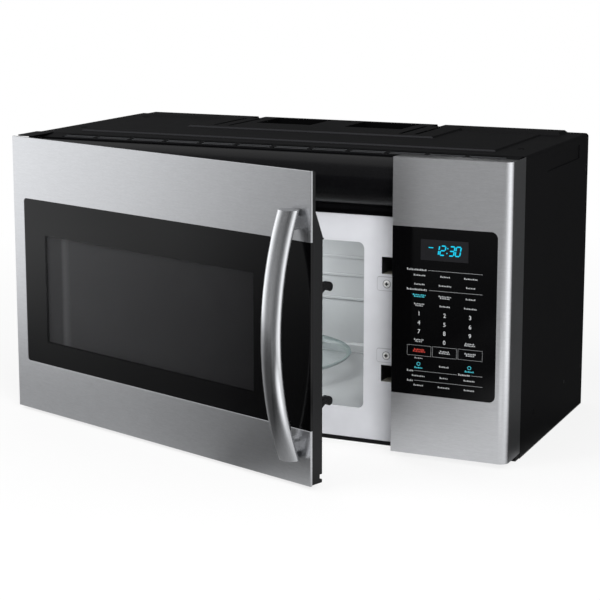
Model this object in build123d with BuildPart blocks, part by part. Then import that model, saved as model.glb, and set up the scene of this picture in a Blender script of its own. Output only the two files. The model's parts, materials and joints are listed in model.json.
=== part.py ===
from build123d import *
from math import cos, radians, sin, sqrt
import os

os.makedirs("parts", exist_ok=True)

# An over-the-range microwave oven with a vent, door hinged on the left and standing ajar.
# Millimetres. X to the right, Y towards the wall, Z up. The origin is the middle of the base.

# Overall
width = 759.0
height = 417.0
depth = 378.0  # door front to wall
door_ajar = 18.4  # degrees open as it stands
door_travel = 100.0  # degrees from shut to wide open

# Stock and clearances
sheet = 1.0  # case, base, cavity and duct sheet
frame_sheet = 1.2
steel_skin = 1.0  # brushed steel on the door and the control panel
plastic_wall = 2.0
seat = 0.2  # between pieces that sit together
slack = 0.4  # round a piece that slides

# Body
case_setback = 62.0  # front edge of the case behind the door front
frame_setback = 47.0  # front of the oven frame behind the door front
case_bend = 5.0
stamping = 2.0  # height of one stamped step
rim_top = height - 2 * stamping

# Door and control panel
door_width = 593.0
door_bottom = 5.0
door_top = height - 5.0
panel_gap = 0.8  # door edge to control chassis
steel_reveal = 1.3  # chassis edge that shows beside the steel
panel_bottom = 8.0
panel_corner = 12.0

# Door glass
glass_left_border = 24.0
glass_bottom = 78.0
glass_top = door_top - 90.0
glass_corner = 5.0
door_glass_thickness = 4.0

# Oven cavity and the frame round its mouth
frame_top = height - 94.0
cavity_side = 27.5  # from the body's left side
cavity_latch_side = 57.5  # from the door's free edge
cavity_bottom = 49.0
cavity_top = frame_top - 38.0
cavity_rear_gap = 11.8  # cavity to wall

# Hinge
hinge_inset = 12.0
hinge_setback = 22.0
hinge_pin_radius = 3.5
hinge_running = 0.06
hinge_plate = 2.2

# Places worked out from the sizes above
x_left = -width / 2
x_right = width / 2
y_front = -depth / 2
y_wall = depth / 2
door_right = x_left + door_width
chassis_left = door_right + panel_gap
steel_left = chassis_left + steel_reveal
hinge_x = x_left + hinge_inset
hinge_y = y_front + hinge_setback
frame_back = frame_setback + frame_sheet
cavity_left = x_left + cavity_side
cavity_right = door_right - cavity_latch_side
cavity_depth = depth - cavity_rear_gap - frame_back
cavity_back = frame_back + cavity_depth
bay_x = (cavity_right + x_right) / 2  # middle of the bay beside the cavity
cavity_x = (cavity_left + cavity_right) / 2
cavity_y = y_front + frame_back + cavity_depth / 2
case_inner = width / 2 - sheet
rim_under = rim_top - sheet
door_swing = Location((hinge_x, hinge_y, 0), (0, 0, -door_ajar)) * Location((-hinge_x, -hinge_y, 0))
door_inward = Axis((hinge_x, hinge_y, 0), (sin(radians(door_ajar)), cos(radians(door_ajar)), 0))


def fixed(plane):
    """a plane of the body, as it is drawn"""
    return plane


def on_door(plane):
    """a plane drawn on the shut door, carried round to where the door stands"""
    return Plane(door_swing * plane.location)


def level(z, hold=fixed):
    """a level plane at height z"""
    return hold(Plane.XY.offset(z))


def facing(d, hold=fixed):
    """an upright plane that looks to the front, d behind the door front"""
    return hold(Plane.XZ.offset(-y_front - d))


def across(x, hold=fixed):
    """an upright plane that looks to the right, at x; its own axes are Y and Z"""
    return hold(Plane.YZ.offset(x))


def deep(near, far):
    """a pair of Y values from two distances behind the door front"""
    return (y_front + near, y_front + far)


def block(xs, ys, zs, mode=Mode.ADD, hold=fixed, taper=0.0):
    """a straight block between three pairs of faces"""
    with BuildSketch(level(zs[0], hold)) as footprint:
        with Locations(((xs[0] + xs[1]) / 2, (ys[0] + ys[1]) / 2)):
            Rectangle(xs[1] - xs[0], ys[1] - ys[0])
    extrude(footprint.sketch, amount=zs[1] - zs[0], taper=taper, mode=mode)


def window(xs, zs, ds, corner, mode=Mode.SUBTRACT, hold=fixed):
    """a round-cornered block that faces the front, between two depths behind the door front"""
    with BuildSketch(facing(ds[0], hold)) as opening:
        with Locations(((xs[0] + xs[1]) / 2, (zs[0] + zs[1]) / 2)):
            RectangleRounded(xs[1] - xs[0], zs[1] - zs[0], corner)
    extrude(opening.sketch, amount=ds[0] - ds[1], mode=mode)


def rod(plane, at, radius, length, mode=Mode.ADD):
    """a round bar that stands on a plane"""
    with BuildSketch(plane) as disc:
        with Locations(at):
            Circle(radius)
    extrude(disc.sketch, amount=length, mode=mode)


def keep(piece, name):
    """labels a finished piece and writes it out"""
    piece.part.label = name
    export_step(piece.part, f"parts/{name}.step")


# Outer case: one sheet bent down on both sides, with a stamped top
case_length = y_wall - (y_front + case_setback)
plateau_half = width / 2 - 54.5
plateau_front = 37.0
plateau_back = 60.0
saddle_half = 200.0
saddle_front = 178.0
rear_lip_half = width / 2 - 29.5
rear_lip_depth = 50.0
rear_margin = 6.0
exhaust_near = 28.0
exhaust_far = 120.0
exhaust_depth = (y_wall - 99.0, y_wall - 19.0)
guide_slots = (139.5, 163.5)
guide_width = 6.0
guide_depth = (y_wall - 154.0, y_wall - 44.0)
notch_centre = 152.0
notch_width = 13.0
cabinet_bolt_x = width / 2 - 32.5
cabinet_bolt_y = y_wall - 234.0
cabinet_bolt_radius = 5.0
side_recess_y = (y_wall - 212.0, y_wall - 48.0)
side_recess_z = (rim_top - 33.0, rim_top - 11.0)
side_screw_inset = 9.0
side_screw_heights = (60.0, rim_top / 2 + 3.5, rim_top - 53.0)
tray_screw = (y_wall - 98.5, 57.0)
screw_radius = 1.6
screw_hole = 1.8
screw_head_radius = 3.5
screw_head_height = 0.6
vent_slot_y = y_wall - 256.0
vent_slot_z = 51.0
gusset_mark = 33.0

side_screws = [(y_wall - side_screw_inset, z) for z in side_screw_heights]
saddle_y = (y_wall - saddle_front, y_wall - rear_margin)
lip_y = (y_wall - rear_lip_depth, y_wall - rear_margin)
plateau_y = (y_front + case_setback + plateau_front, y_wall - plateau_back)
with BuildPart() as outer_case:
    with BuildSketch(Plane.XZ.offset(-y_wall)) as bent_outside:
        with Locations((0, rim_top / 2)):
            Rectangle(width, rim_top)
        fillet(bent_outside.vertices().group_by(Axis.Y)[-1], case_bend)
    extrude(amount=case_length)
    with BuildSketch(Plane.XZ.offset(-y_wall)) as bent_inside:
        with Locations((0, rim_under / 2)):
            Rectangle(2 * case_inner, rim_under)
        fillet(bent_inside.vertices().group_by(Axis.Y)[-1], case_bend - sheet)
    extrude(amount=case_length, mode=Mode.SUBTRACT)
    for rise, half, run in (
        (stamping, plateau_half, plateau_y),
        (2 * stamping, saddle_half, saddle_y),
        (2 * stamping, rear_lip_half, lip_y),
    ):
        block((-half, half), run, (rim_top, rim_top + rise), taper=45)
    for rise, half, run in (
        (stamping, plateau_half, plateau_y),
        (2 * stamping, saddle_half, saddle_y),
        (2 * stamping, rear_lip_half, lip_y),
    ):
        inset = sheet + rise
        under = (run[0] + inset, run[1] - inset)
        block((inset - half, half - inset), under, (rim_under, rim_under + rise), Mode.SUBTRACT)
    for turn in (-1, 1):
        near, far = sorted((turn * exhaust_near, turn * exhaust_far))
        block((near, far), exhaust_depth, (rim_under, height), Mode.SUBTRACT)
        for x in guide_slots:
            slot = (turn * x - guide_width / 2, turn * x + guide_width / 2)
            block(slot, guide_depth, (rim_under, height), Mode.SUBTRACT)
        notch = (turn * notch_centre - notch_width / 2, turn * notch_centre + notch_width / 2)
        block(notch, (guide_depth[1] + guide_width, y_wall), (rim_top, height), Mode.SUBTRACT)
        bolt = (turn * cabinet_bolt_x, cabinet_bolt_y)
        rod(level(rim_under), bolt, cabinet_bolt_radius, sheet, Mode.SUBTRACT)
        outside = sorted((turn * width / 2, turn * case_inner))
        inside = sorted((turn * case_inner, turn * (case_inner - sheet)))
        block(inside, side_recess_y, side_recess_z)
        inner_y = (side_recess_y[0] + sheet, side_recess_y[1] - sheet)
        inner_z = (side_recess_z[0] + sheet, side_recess_z[1] - sheet)
        block(outside, inner_y, inner_z, Mode.SUBTRACT)
        for at in side_screws + ([tray_screw] if turn > 0 else []):
            skin_side = across(turn * width / 2)
            rod(skin_side, at, screw_hole, -turn * sheet, Mode.SUBTRACT)
            rod(skin_side, at, screw_head_radius + seat, -turn * screw_head_height, Mode.SUBTRACT)
    with BuildSketch(across(x_right)):
        with Locations((vent_slot_y, vent_slot_z)):
            SlotOverall(8.0, 3.0, rotation=90)
    extrude(amount=-sheet, mode=Mode.SUBTRACT)
    with BuildSketch(across(x_right)):
        with BuildLine():
            Polyline(
                (y_wall - stamping, stamping),
                (y_wall - gusset_mark, stamping),
                (y_wall - stamping, 1.4 * gusset_mark),
                close=True,
            )
        make_face()
    extrude(amount=-sheet / 2, mode=Mode.SUBTRACT)
keep(outer_case, "outer_case")

# Rear panel, with the wall hooks' slots and the cord outlet
panel_half = case_inner - seat
panel_low = sheet + seat
flange_depth = 18.0
gland_at = (x_right - 79.5, rim_top - 43.0)
gland_radius = 12.0
hook_slot_x = 250.0
hook_slot_z = 30.0
rib_height = 3.0
rib_x = (48.0 - panel_half, panel_half - 198.0)
with BuildPart() as rear_panel:
    with BuildSketch(Plane.XZ.offset(-y_wall)) as rear_outline:
        with Locations((0, (panel_low + rim_under - seat) / 2)):
            Rectangle(2 * panel_half, rim_under - seat - panel_low)
        fillet(rear_outline.vertices().group_by(Axis.Y)[-1], case_bend)
        with Locations((hook_slot_x, hook_slot_z), (-hook_slot_x, hook_slot_z)):
            SlotOverall(44.0, 9.0, mode=Mode.SUBTRACT)
        with Locations(gland_at):
            Circle(gland_radius, mode=Mode.SUBTRACT)
    extrude(amount=sheet)
    for turn in (-1, 1):
        edge = sorted((turn * panel_half, turn * (panel_half - sheet)))
        run = (y_wall - sheet - flange_depth, y_wall - sheet)
        block(edge, run, (panel_low, rim_under - 2 * case_bend))
        for at in side_screws:
            rod(across(turn * panel_half), at, screw_hole, -turn * sheet, Mode.SUBTRACT)
    for z in (120.0, 205.0, 290.0):
        block(rib_x, (y_wall - sheet - rib_height, y_wall - sheet), (z, z + 16.0))
        inner_x = (rib_x[0] + sheet, rib_x[1] - sheet)
        block(inner_x, (y_wall - rib_height, y_wall), (z + sheet, z + 16.0 - sheet), Mode.SUBTRACT)
keep(rear_panel, "rear_panel")

# Base plate, with seats for two grease filters and two lamp lenses
filter_width = 190.0
filter_depth = 127.0
filter_height = 8.0
filter_x = width / 2 - 144.5
filter_y = y_wall - 129.0
filter_z = 0.6
lens_width = 74.0
lens_depth = 49.0
lens_lap = 2.0
lens_x = 75.0
lens_y = y_front + 94.0
base_lip = 5.8
base_front = y_front + frame_setback
collar_top = filter_z + filter_height + seat
ledge = 5.0


def filter_seat(x):
    """the collar and the ledge that a grease filter is pushed up against"""
    half_x = filter_width / 2 + slack
    half_y = filter_depth / 2 + slack
    wall_x = (x - half_x - sheet, x + half_x + sheet)
    wall_y = (filter_y - half_y - sheet, filter_y + half_y + sheet)
    hole_x = (x - half_x, x + half_x)
    hole_y = (filter_y - half_y, filter_y + half_y)
    block(wall_x, wall_y, (0, collar_top + sheet))
    block(hole_x, hole_y, (0, collar_top), Mode.SUBTRACT)
    inner_x = (hole_x[0] + ledge, hole_x[1] - ledge)
    inner_y = (hole_y[0] + ledge, hole_y[1] - ledge)
    block(inner_x, inner_y, (collar_top, collar_top + sheet), Mode.SUBTRACT)


with BuildPart() as base_plate:
    block((-panel_half, panel_half), (base_front, y_wall), (0, sheet))
    block((-panel_half, panel_half), (base_front, base_front + sheet), (sheet, base_lip))
    for x in (-filter_x, filter_x):
        filter_seat(x)
    for x in (-lens_x, lens_x):
        hole_x = (x - lens_width / 2 + lens_lap, x + lens_width / 2 - lens_lap)
        hole_y = (lens_y - lens_depth / 2 + lens_lap, lens_y + lens_depth / 2 - lens_lap)
        block(hole_x, hole_y, (0, sheet), Mode.SUBTRACT)
    for x in (-filter_x, filter_x):
        with BuildSketch(level(0)) as cooling_slots:
            with Locations((x, lens_y)):
                with GridLocations(10.0, 0.0, 14, 1):
                    SlotOverall(30.0, 4.0, rotation=90)
        extrude(cooling_slots.sketch, amount=sheet, mode=Mode.SUBTRACT)
keep(base_plate, "base_plate")

# Shelf that carries the power parts beside the cavity
shelf_z = 36.0
shelf_top = shelf_z + sheet
shelf_left = cavity_right + sheet + seat
shelf_y = (y_front + 89.0, y_wall - sheet - flange_depth - seat)
shelf_flange_top = 70.0
shelf_relief = (filter_y - filter_depth / 2 - 4.0, filter_y + filter_depth / 2 + 4.0)
with BuildPart() as component_shelf:
    block((shelf_left, panel_half), shelf_y, (shelf_z, shelf_top))
    block((shelf_left, shelf_left + sheet), shelf_y, (sheet, shelf_z))
    block((shelf_left, shelf_left + sheet), shelf_relief, (sheet, collar_top + 4.0), Mode.SUBTRACT)
    block((panel_half - sheet, panel_half), shelf_y, (sheet, shelf_flange_top))
    rod(across(panel_half), tray_screw, screw_hole, -sheet, Mode.SUBTRACT)
keep(component_shelf, "component_shelf")

# Oven front frame
frame_left = -case_inner + 0.3
frame_right = chassis_left + 21.7
frame_bottom = base_lip + seat
ear_top = rim_top - 9.0
frame_flange = 30.0
latch_x = door_right - 25.9
latch_z = (cavity_bottom + 54.0, cavity_top - 30.0)
latch_slot_x = (latch_x - 5.6, latch_x + 12.4)
latch_slot_height = 24.0
pad_screw_x = latch_x + 2.4
pad_x = (pad_screw_x - 14.0, pad_screw_x + 14.0)
pad_half = 9.5
pad_rise = 0.8
pad_screw_z = (latch_z[0] + 25.5, latch_z[1] - 25.5)
upper_hinge_z = frame_top + 4.0
hinge_tab_height = 35.0
lower_hinge_z = 1.8
lower_tab_top = 28.0
hinge_screw_x = hinge_x + 2.0
upper_hinge_screws = ((hinge_screw_x, upper_hinge_z + 14.0), (hinge_screw_x, upper_hinge_z + 27.0))
lower_hinge_screws = ((hinge_x - 4.0, 17.0), (hinge_x + 8.0, 17.0))
with BuildPart() as front_frame:
    block((frame_left, frame_right), deep(frame_setback, frame_back), (frame_bottom, frame_top))
    block((frame_left, cavity_left), deep(frame_setback, frame_back), (frame_top, ear_top))
    window((cavity_left, cavity_right), (cavity_bottom, cavity_top), (frame_setback, frame_back), 9.0)
    for z in pad_screw_z:
        window(pad_x, (z - pad_half, z + pad_half), (frame_setback - pad_rise, frame_setback), 3.0, Mode.ADD)
        rod(facing(frame_setback - pad_rise), (pad_screw_x, z), screw_hole, -pad_rise - frame_sheet,
            Mode.SUBTRACT)
    for z in latch_z:
        half = latch_slot_height / 2
        window(latch_slot_x, (z - half, z + half), (frame_setback, frame_back), 1.0)
    for at in upper_hinge_screws + lower_hinge_screws:
        rod(facing(frame_setback), at, screw_hole, -frame_sheet, Mode.SUBTRACT)
    block((frame_left, frame_left + sheet), deep(frame_back, frame_back + frame_flange),
          (frame_bottom, ear_top))
    for z in (frame_bottom, frame_top - sheet):
        block((frame_left + sheet, frame_right), deep(frame_back, case_setback), (z, z + sheet))
    block((frame_right - sheet, frame_right), deep(frame_back, frame_back + frame_flange),
          (frame_bottom, frame_top))
keep(front_frame, "front_frame")

# Cavity sheets
recess_depth = 2.0
recess_margin = 40.0
floor_top = cavity_bottom - recess_depth  # the part that the rollers run on
hub_hole = 8.0
cavity_span = deep(frame_back, cavity_back)
recess_x = (cavity_left + recess_margin, cavity_right - recess_margin)
recess_y = (cavity_span[0] + 12.0, cavity_span[1] - 12.0)
with BuildPart() as cavity_floor:
    block((cavity_left - sheet, cavity_right + sheet), cavity_span, (cavity_bottom - sheet, cavity_bottom))
    wide_x = (recess_x[0] - sheet, recess_x[1] + sheet)
    wide_y = (recess_y[0] - sheet, recess_y[1] + sheet)
    block(wide_x, wide_y, (floor_top - sheet, cavity_bottom - sheet))
    block(recess_x, recess_y, (floor_top, cavity_bottom), Mode.SUBTRACT)
    rod(level(floor_top - sheet), (cavity_x, cavity_y), hub_hole, sheet, Mode.SUBTRACT)
keep(cavity_floor, "cavity_floor")

with BuildPart() as cavity_roof:
    block((cavity_left - sheet, cavity_right + sheet), cavity_span, (cavity_top, cavity_top + sheet))
    with BuildSketch(level(cavity_top)):
        with Locations((cavity_x + 150.0, cavity_y - 90.0)):
            with GridLocations(8.0, 8.0, 10, 5):
                Circle(2.2)
    extrude(amount=sheet, mode=Mode.SUBTRACT)
keep(cavity_roof, "cavity_roof")

with BuildPart() as cavity_left_wall:
    block((cavity_left - sheet, cavity_left), cavity_span, (cavity_bottom, cavity_top))
    with BuildSketch(across(cavity_left - sheet)):
        with Locations((cavity_y + 60.0, cavity_top - 60.0)):
            with GridLocations(8.0, 8.0, 8, 4):
                Circle(2.2)
    extrude(amount=sheet, mode=Mode.SUBTRACT)
keep(cavity_left_wall, "cavity_left_wall")

tube_y = cavity_y + 11.8
tube_z = cavity_top - 70.0
wave_port_y = (tube_y - 38.0, tube_y + 38.0)
wave_port_z = (tube_z - 33.0, tube_z + 33.0)
lamp_at = (y_wall - 59.0, cavity_top - 27.0)
with BuildPart() as cavity_right_wall:
    block((cavity_right, cavity_right + sheet), cavity_span, (cavity_bottom, cavity_top))
    block((cavity_right, cavity_right + sheet), wave_port_y, wave_port_z, Mode.SUBTRACT)
    with BuildSketch(across(cavity_right)):
        with Locations(lamp_at):
            with GridLocations(7.0, 7.0, 4, 4):
                Circle(2.0)
    extrude(amount=sheet, mode=Mode.SUBTRACT)
keep(cavity_right_wall, "cavity_right_wall")

rib_rise = 2.0
rib_bands = (131.0, 169.0, 198.0)
step_height = 13.0
step_depth = 8.0
rear_inner = y_front + cavity_back
with BuildPart() as cavity_rear_wall:
    block((cavity_left - sheet, cavity_right + sheet), (rear_inner, rear_inner + sheet),
          (cavity_bottom - sheet, cavity_top + sheet))
    for z in rib_bands:
        block((cavity_left + 20, cavity_right - 20), (rear_inner - rib_rise, rear_inner), (z, z + 3.0))
    with BuildSketch(across(cavity_left)):
        with BuildLine():
            Polyline(
                (rear_inner, cavity_bottom),
                (rear_inner - step_depth, cavity_bottom),
                (rear_inner - step_depth, cavity_bottom + step_height - 3.0),
                (rear_inner - step_depth + 3.0, cavity_bottom + step_height),
                (rear_inner, cavity_bottom + step_height),
                close=True,
            )
        make_face()
    extrude(amount=cavity_right - cavity_left)
keep(cavity_rear_wall, "cavity_rear_wall")

mica = 0.5
with BuildPart() as waveguide_cover:
    block((cavity_right - mica, cavity_right), (wave_port_y[0] - 6, wave_port_y[1] + 6),
          (wave_port_z[0] - 6, wave_port_z[1] + 6))
keep(waveguide_cover, "waveguide_cover")

# Vent: a bulging black face over the oven, and a slotted strip between it and the case
band_left = cavity_left + 2.0
band_right = chassis_left - 0.4
band_wall = 1.2
strip_front = 34.0  # distances behind the door front
strip_drop = 3.3
strip_thickness = 1.5
strip_tuck = 10.0
band_top = (strip_front + 1.0, rim_top - strip_drop - strip_thickness - 0.5)
band_bulge = (14.0, rim_top - 33.0)
band_foot = (38.0, frame_top + 15.0)
band_ledge = frame_top + 8.0
band_step = frame_setback + 0.6
with BuildPart() as vent_band:
    with BuildSketch(across(band_left)):
        with BuildLine():
            top = (y_front + band_top[0], band_top[1])
            foot = (y_front + band_foot[0], band_foot[1])
            ThreePointArc(top, (y_front + band_bulge[0], band_bulge[1]), foot)
            Polyline(foot, (foot[0], band_ledge), (y_front + band_step, band_ledge),
                     (y_front + band_step, frame_top + seat))
            offset(amount=band_wall, side=Side.LEFT)
        make_face()
    extrude(amount=band_right - band_left)
keep(vent_band, "vent_band")

strip_half = width / 2 - case_bend
slot_pitch = 57.0
slot_length = 51.0
slot_margin = 49.7
slot_first = slot_margin - strip_half
slot_count = int((2 * strip_half - slot_margin) / slot_pitch)
slot_run = (38.5, 57.5)
with BuildPart() as vent_louvre:
    with BuildSketch(across(-strip_half)):
        with BuildLine():
            back = y_front + case_setback
            fore = y_front + strip_front
            Polyline(
                (fore, rim_top - strip_drop),
                (back - seat, rim_top - seat),
                (back - seat, rim_under - seat),
                (back + strip_tuck, rim_under - seat),
                (back + strip_tuck, rim_under - seat - strip_thickness),
                (back - strip_thickness, rim_under - seat - strip_thickness),
                (fore, rim_top - strip_drop - strip_thickness),
                close=True,
            )
        make_face()
    extrude(amount=2 * strip_half)
    for i in range(slot_count):
        start = slot_first + 3.0 + i * slot_pitch
        block((start, start + slot_length), deep(*slot_run), (rim_top - 4 * strip_drop, rim_top),
              Mode.SUBTRACT)
keep(vent_louvre, "vent_louvre")

# Charcoal filter, standing on the cavity roof behind the vent face
charcoal_x = (cavity_x - 117.0, cavity_right + 9.0)
charcoal_depth = (76.0, 91.0)
charcoal_top = rim_under - 12.0
with BuildPart() as charcoal_filter:
    block(charcoal_x, deep(*charcoal_depth), (cavity_top + sheet + seat, charcoal_top))
    recess = deep(charcoal_depth[0], charcoal_depth[0] + 3.0)
    block((charcoal_x[0] + 8, charcoal_x[1] - 8), recess, (cavity_top + 10, charcoal_top - 8), Mode.SUBTRACT)
keep(charcoal_filter, "charcoal_filter")

# Control panel
keypad_right = x_right - 17.0
keypad_bottom = 91.0
keypad_top = door_top - 92.0
keypad_corner = 9.0
keypad_glass_depth = (0.3, 3.3)
panel_return = case_setback - slack
display_width = 67.0
display_middle = (steel_left + keypad_right) / 2
display_x = (display_middle - display_width / 2, display_middle + display_width / 2)
display_z = (keypad_top - 44.0, keypad_top - 15.5)
far_left = steel_left - 3 * keypad_corner
with BuildPart() as control_trim:
    block((steel_left, x_right), deep(0, panel_return), (panel_bottom, door_top))
    corner = control_trim.edges().filter_by(Axis.Z).group_by(Axis.X)[-1].sort_by(Axis.Y)[0]
    fillet(corner, panel_corner)
    with BuildSketch(level(panel_bottom + steel_skin)) as hollow:
        inner_x = (far_left, x_right - steel_skin)
        inner_y = deep(steel_skin, panel_return + 3 * panel_corner)
        with Locations(((inner_x[0] + inner_x[1]) / 2, (inner_y[0] + inner_y[1]) / 2)):
            RectangleRounded(inner_x[1] - inner_x[0], inner_y[1] - inner_y[0], panel_corner - steel_skin)
    extrude(hollow.sketch, amount=door_top - panel_bottom - 2 * steel_skin, mode=Mode.SUBTRACT)
    rear_cut = deep(strip_front - 2 * slack, panel_return)
    top_cut = (door_top - steel_skin, door_top)
    block((steel_left, x_right - steel_skin), rear_cut, top_cut, Mode.SUBTRACT)
    low_cut = (panel_bottom, panel_bottom + steel_skin)
    block((steel_left, x_right - steel_skin), rear_cut, low_cut, Mode.SUBTRACT)
    window((far_left, keypad_right), (keypad_bottom, keypad_top), (0, steel_skin), keypad_corner)
keep(control_trim, "control_trim")

with BuildPart() as keypad_glass:
    window((far_left, keypad_right - seat), (keypad_bottom + seat, keypad_top - seat),
           keypad_glass_depth, keypad_corner - seat, Mode.ADD)
    block((far_left, steel_left + seat), deep(0, 9), (keypad_bottom, keypad_top), Mode.SUBTRACT)
    window(display_x, display_z, keypad_glass_depth, 1.0)
keep(keypad_glass, "keypad_glass")

with BuildPart() as display_window:
    window((display_x[0] + seat, display_x[1] - seat), (display_z[0] + seat, display_z[1] - seat),
           keypad_glass_depth, 0.8, Mode.ADD)
keep(display_window, "display_window")

chassis_front = keypad_glass_depth[1] + seat
chassis_back = frame_setback - seat
chassis_right = x_right - steel_skin - seat
chassis_bottom = panel_bottom + steel_skin + seat
chassis_top = rim_top - strip_drop - strip_thickness - 0.7
board_front = 20.0
board_x = (chassis_left + 13.7, x_right - 15.5)
board_z = (keypad_bottom + 9.0, keypad_top + 10.0)
boss_inset = 8.0
chassis_inner = chassis_front + plastic_wall
with BuildPart() as control_chassis:
    block((chassis_left, chassis_right), deep(chassis_front, chassis_back), (chassis_bottom, chassis_top))
    corner = control_chassis.edges().filter_by(Axis.Z).group_by(Axis.X)[-1].sort_by(Axis.Y)[0]
    fillet(corner, panel_corner - steel_skin)
    with BuildSketch(level(chassis_bottom + plastic_wall)) as hollow:
        inner_x = (chassis_left + plastic_wall, chassis_right - plastic_wall)
        inner_y = deep(chassis_inner, chassis_back + 3 * panel_corner)
        with Locations(((inner_x[0] + inner_x[1]) / 2, (inner_y[0] + inner_y[1]) / 2)):
            RectangleRounded(inner_x[1] - inner_x[0], inner_y[1] - inner_y[0],
                             panel_corner - steel_skin - plastic_wall)
    extrude(hollow.sketch, amount=chassis_top - chassis_bottom - 2 * plastic_wall, mode=Mode.SUBTRACT)
    window((display_x[0] - 1, display_x[1] + 1), (display_z[0] - 1, display_z[1] + 1),
           (chassis_front, chassis_inner), 1.0)
    for x in (board_x[0] + boss_inset, board_x[1] - boss_inset):
        for z in (board_z[0] + boss_inset, board_z[1] - boss_inset):
            rod(facing(chassis_inner), (x, z), 3.5, chassis_inner - board_front)
keep(control_chassis, "control_chassis")

board_back = board_front + 1.6
with BuildPart() as control_board:
    block(board_x, deep(board_front, board_back), board_z)
    block((display_x[0] - 0.5, display_x[1] + 0.5), deep(chassis_front + 0.4, board_front),
          (display_z[0] - 0.5, display_z[1] + 0.5))
    for from_left, from_bottom, wide, tall, thick in (
        (17.0, 20.0, 20.0, 16.0, 15.0),
        (17.0, 50.0, 20.0, 16.0, 15.0),
        (17.0, 80.0, 20.0, 16.0, 15.0),
    ):
        x = board_x[0] + from_left
        z = board_z[0] + from_bottom
        block((x, x + wide), deep(board_back, board_back + thick), (z, z + tall))
    for from_right, from_bottom, wide, tall, thick in (
        (64.0, 30.0, 34.0, 30.0, 20.0),
        (29.0, 90.0, 14.0, 40.0, 8.0),
        (44.0, 135.0, 26.0, 26.0, 3.0),
    ):
        x = board_x[1] - from_right
        z = board_z[0] + from_bottom
        block((x, x + wide), deep(board_back, board_back + thick), (z, z + tall))
keep(control_board, "control_board")

# Door latch board behind the frame, with the interlock switches
board_seat = frame_back + seat
latch_wall = 2.5
latch_depth = 42.0
web_x = (latch_x + 17.4, latch_x + 20.4)
latch_board_z = (latch_z[0] - 21.0, latch_z[1] + 21.0)
switch_depth = (67.0, 87.0)
switch_x = (latch_x + 5.4, web_x[0] - seat)
plunger_x = (switch_x[0] + 3.0, switch_x[0] + 7.0)
with BuildPart() as latch_board:
    block((pad_x[0] - 4.0, web_x[1]), deep(board_seat, board_seat + latch_wall), latch_board_z)
    block(web_x, deep(board_seat + latch_wall, board_seat + latch_depth), latch_board_z)
    for z in latch_z:
        half = latch_slot_height / 2 + 1.5
        window((latch_slot_x[0] - 1.5, latch_slot_x[1] + 1.5), (z - half, z + half),
               (board_seat, board_seat + latch_wall), 1.0)
        shelf_low = z - half - latch_wall
        block((latch_slot_x[0] - 2.0, web_x[0]), deep(board_seat + latch_wall, board_seat + 30.0),
              (shelf_low, shelf_low + latch_wall))
    for z in pad_screw_z:
        rod(facing(board_seat), (pad_screw_x, z), screw_hole, -latch_wall, Mode.SUBTRACT)
keep(latch_board, "latch_board")

with BuildPart() as interlock_switches:
    for z in (latch_z[0], latch_z[0] + 40.0, latch_z[1]):
        block(switch_x, deep(*switch_depth), (z - 8.0, z + 8.0))
        block(plunger_x, deep(switch_depth[0] - 2.0, switch_depth[0]), (z - 1.5, z + 1.5))
keep(interlock_switches, "interlock_switches")

# Hinge brackets and their pins, fixed to the frame
tab_front = frame_setback - hinge_plate
tab_x = (hinge_x - 9.5, hinge_x + 13.5)
pin_length = 18.0
knuckle = 9.0


def hinge_bracket(arm_low, tab_low, tab_high, screws):
    """an arm that reaches out over or under the door, and the tab that is screwed to the frame"""
    arm = (arm_low, arm_low + hinge_plate)
    block((hinge_x - knuckle, hinge_x + knuckle), deep(hinge_setback, frame_setback - seat), arm)
    rod(level(arm_low), (hinge_x, hinge_y), knuckle, hinge_plate)
    block(tab_x, deep(tab_front, frame_setback - seat), (tab_low, tab_high))
    for at in screws:
        rod(facing(tab_front), at, screw_hole, -hinge_plate, Mode.SUBTRACT)


with BuildPart() as hinge_upper:
    hinge_bracket(upper_hinge_z, upper_hinge_z, upper_hinge_z + hinge_tab_height, upper_hinge_screws)
    rod(level(upper_hinge_z - pin_length), (hinge_x, hinge_y), hinge_pin_radius, pin_length)
    rod(level(upper_hinge_z + hinge_plate), (hinge_x, hinge_y), 5.0, 1.6)
keep(hinge_upper, "hinge_upper")

with BuildPart() as hinge_lower:
    hinge_bracket(lower_hinge_z, lower_hinge_z, lower_tab_top, lower_hinge_screws)
    rod(level(lower_hinge_z + hinge_plate), (hinge_x, hinge_y), hinge_pin_radius, pin_length)
keep(hinge_lower, "hinge_lower")


def screw(plane, at, head, rise, shank, length):
    """a pan-head screw whose head stands on the plane"""
    rod(plane, at, head, rise)
    rod(plane, at, shank, -length)


with BuildPart() as frame_screws:
    for z in pad_screw_z:
        screw(facing(frame_setback - pad_rise), (pad_screw_x, z), 4.0, 1.6, screw_radius, 6.0)
    for at in upper_hinge_screws + lower_hinge_screws:
        screw(facing(tab_front), at, 3.4, 1.6, screw_radius, 8.0)
keep(frame_screws, "frame_screws")

with BuildPart() as case_screws:
    for turn in (-1, 1):
        for at in side_screws + ([tray_screw] if turn > 0 else []):
            head_face = across(turn * (width / 2 - screw_head_height))
            rod(head_face, at, screw_head_radius, turn * screw_head_height)
            rod(head_face, at, screw_radius, -turn * 6.0)
keep(case_screws, "case_screws")

# Cord gland in the rear panel
with BuildPart() as cord_gland:
    gland_plane = Plane.XZ.offset(-y_wall)
    rod(gland_plane, gland_at, gland_radius - seat, 6.0)
    rod(Plane.XZ.offset(-y_wall + sheet + seat), gland_at, gland_radius + 3.0, 3.0)
    rod(gland_plane, gland_at, 6.0, 6.0, Mode.SUBTRACT)
keep(cord_gland, "cord_gland")

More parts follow.
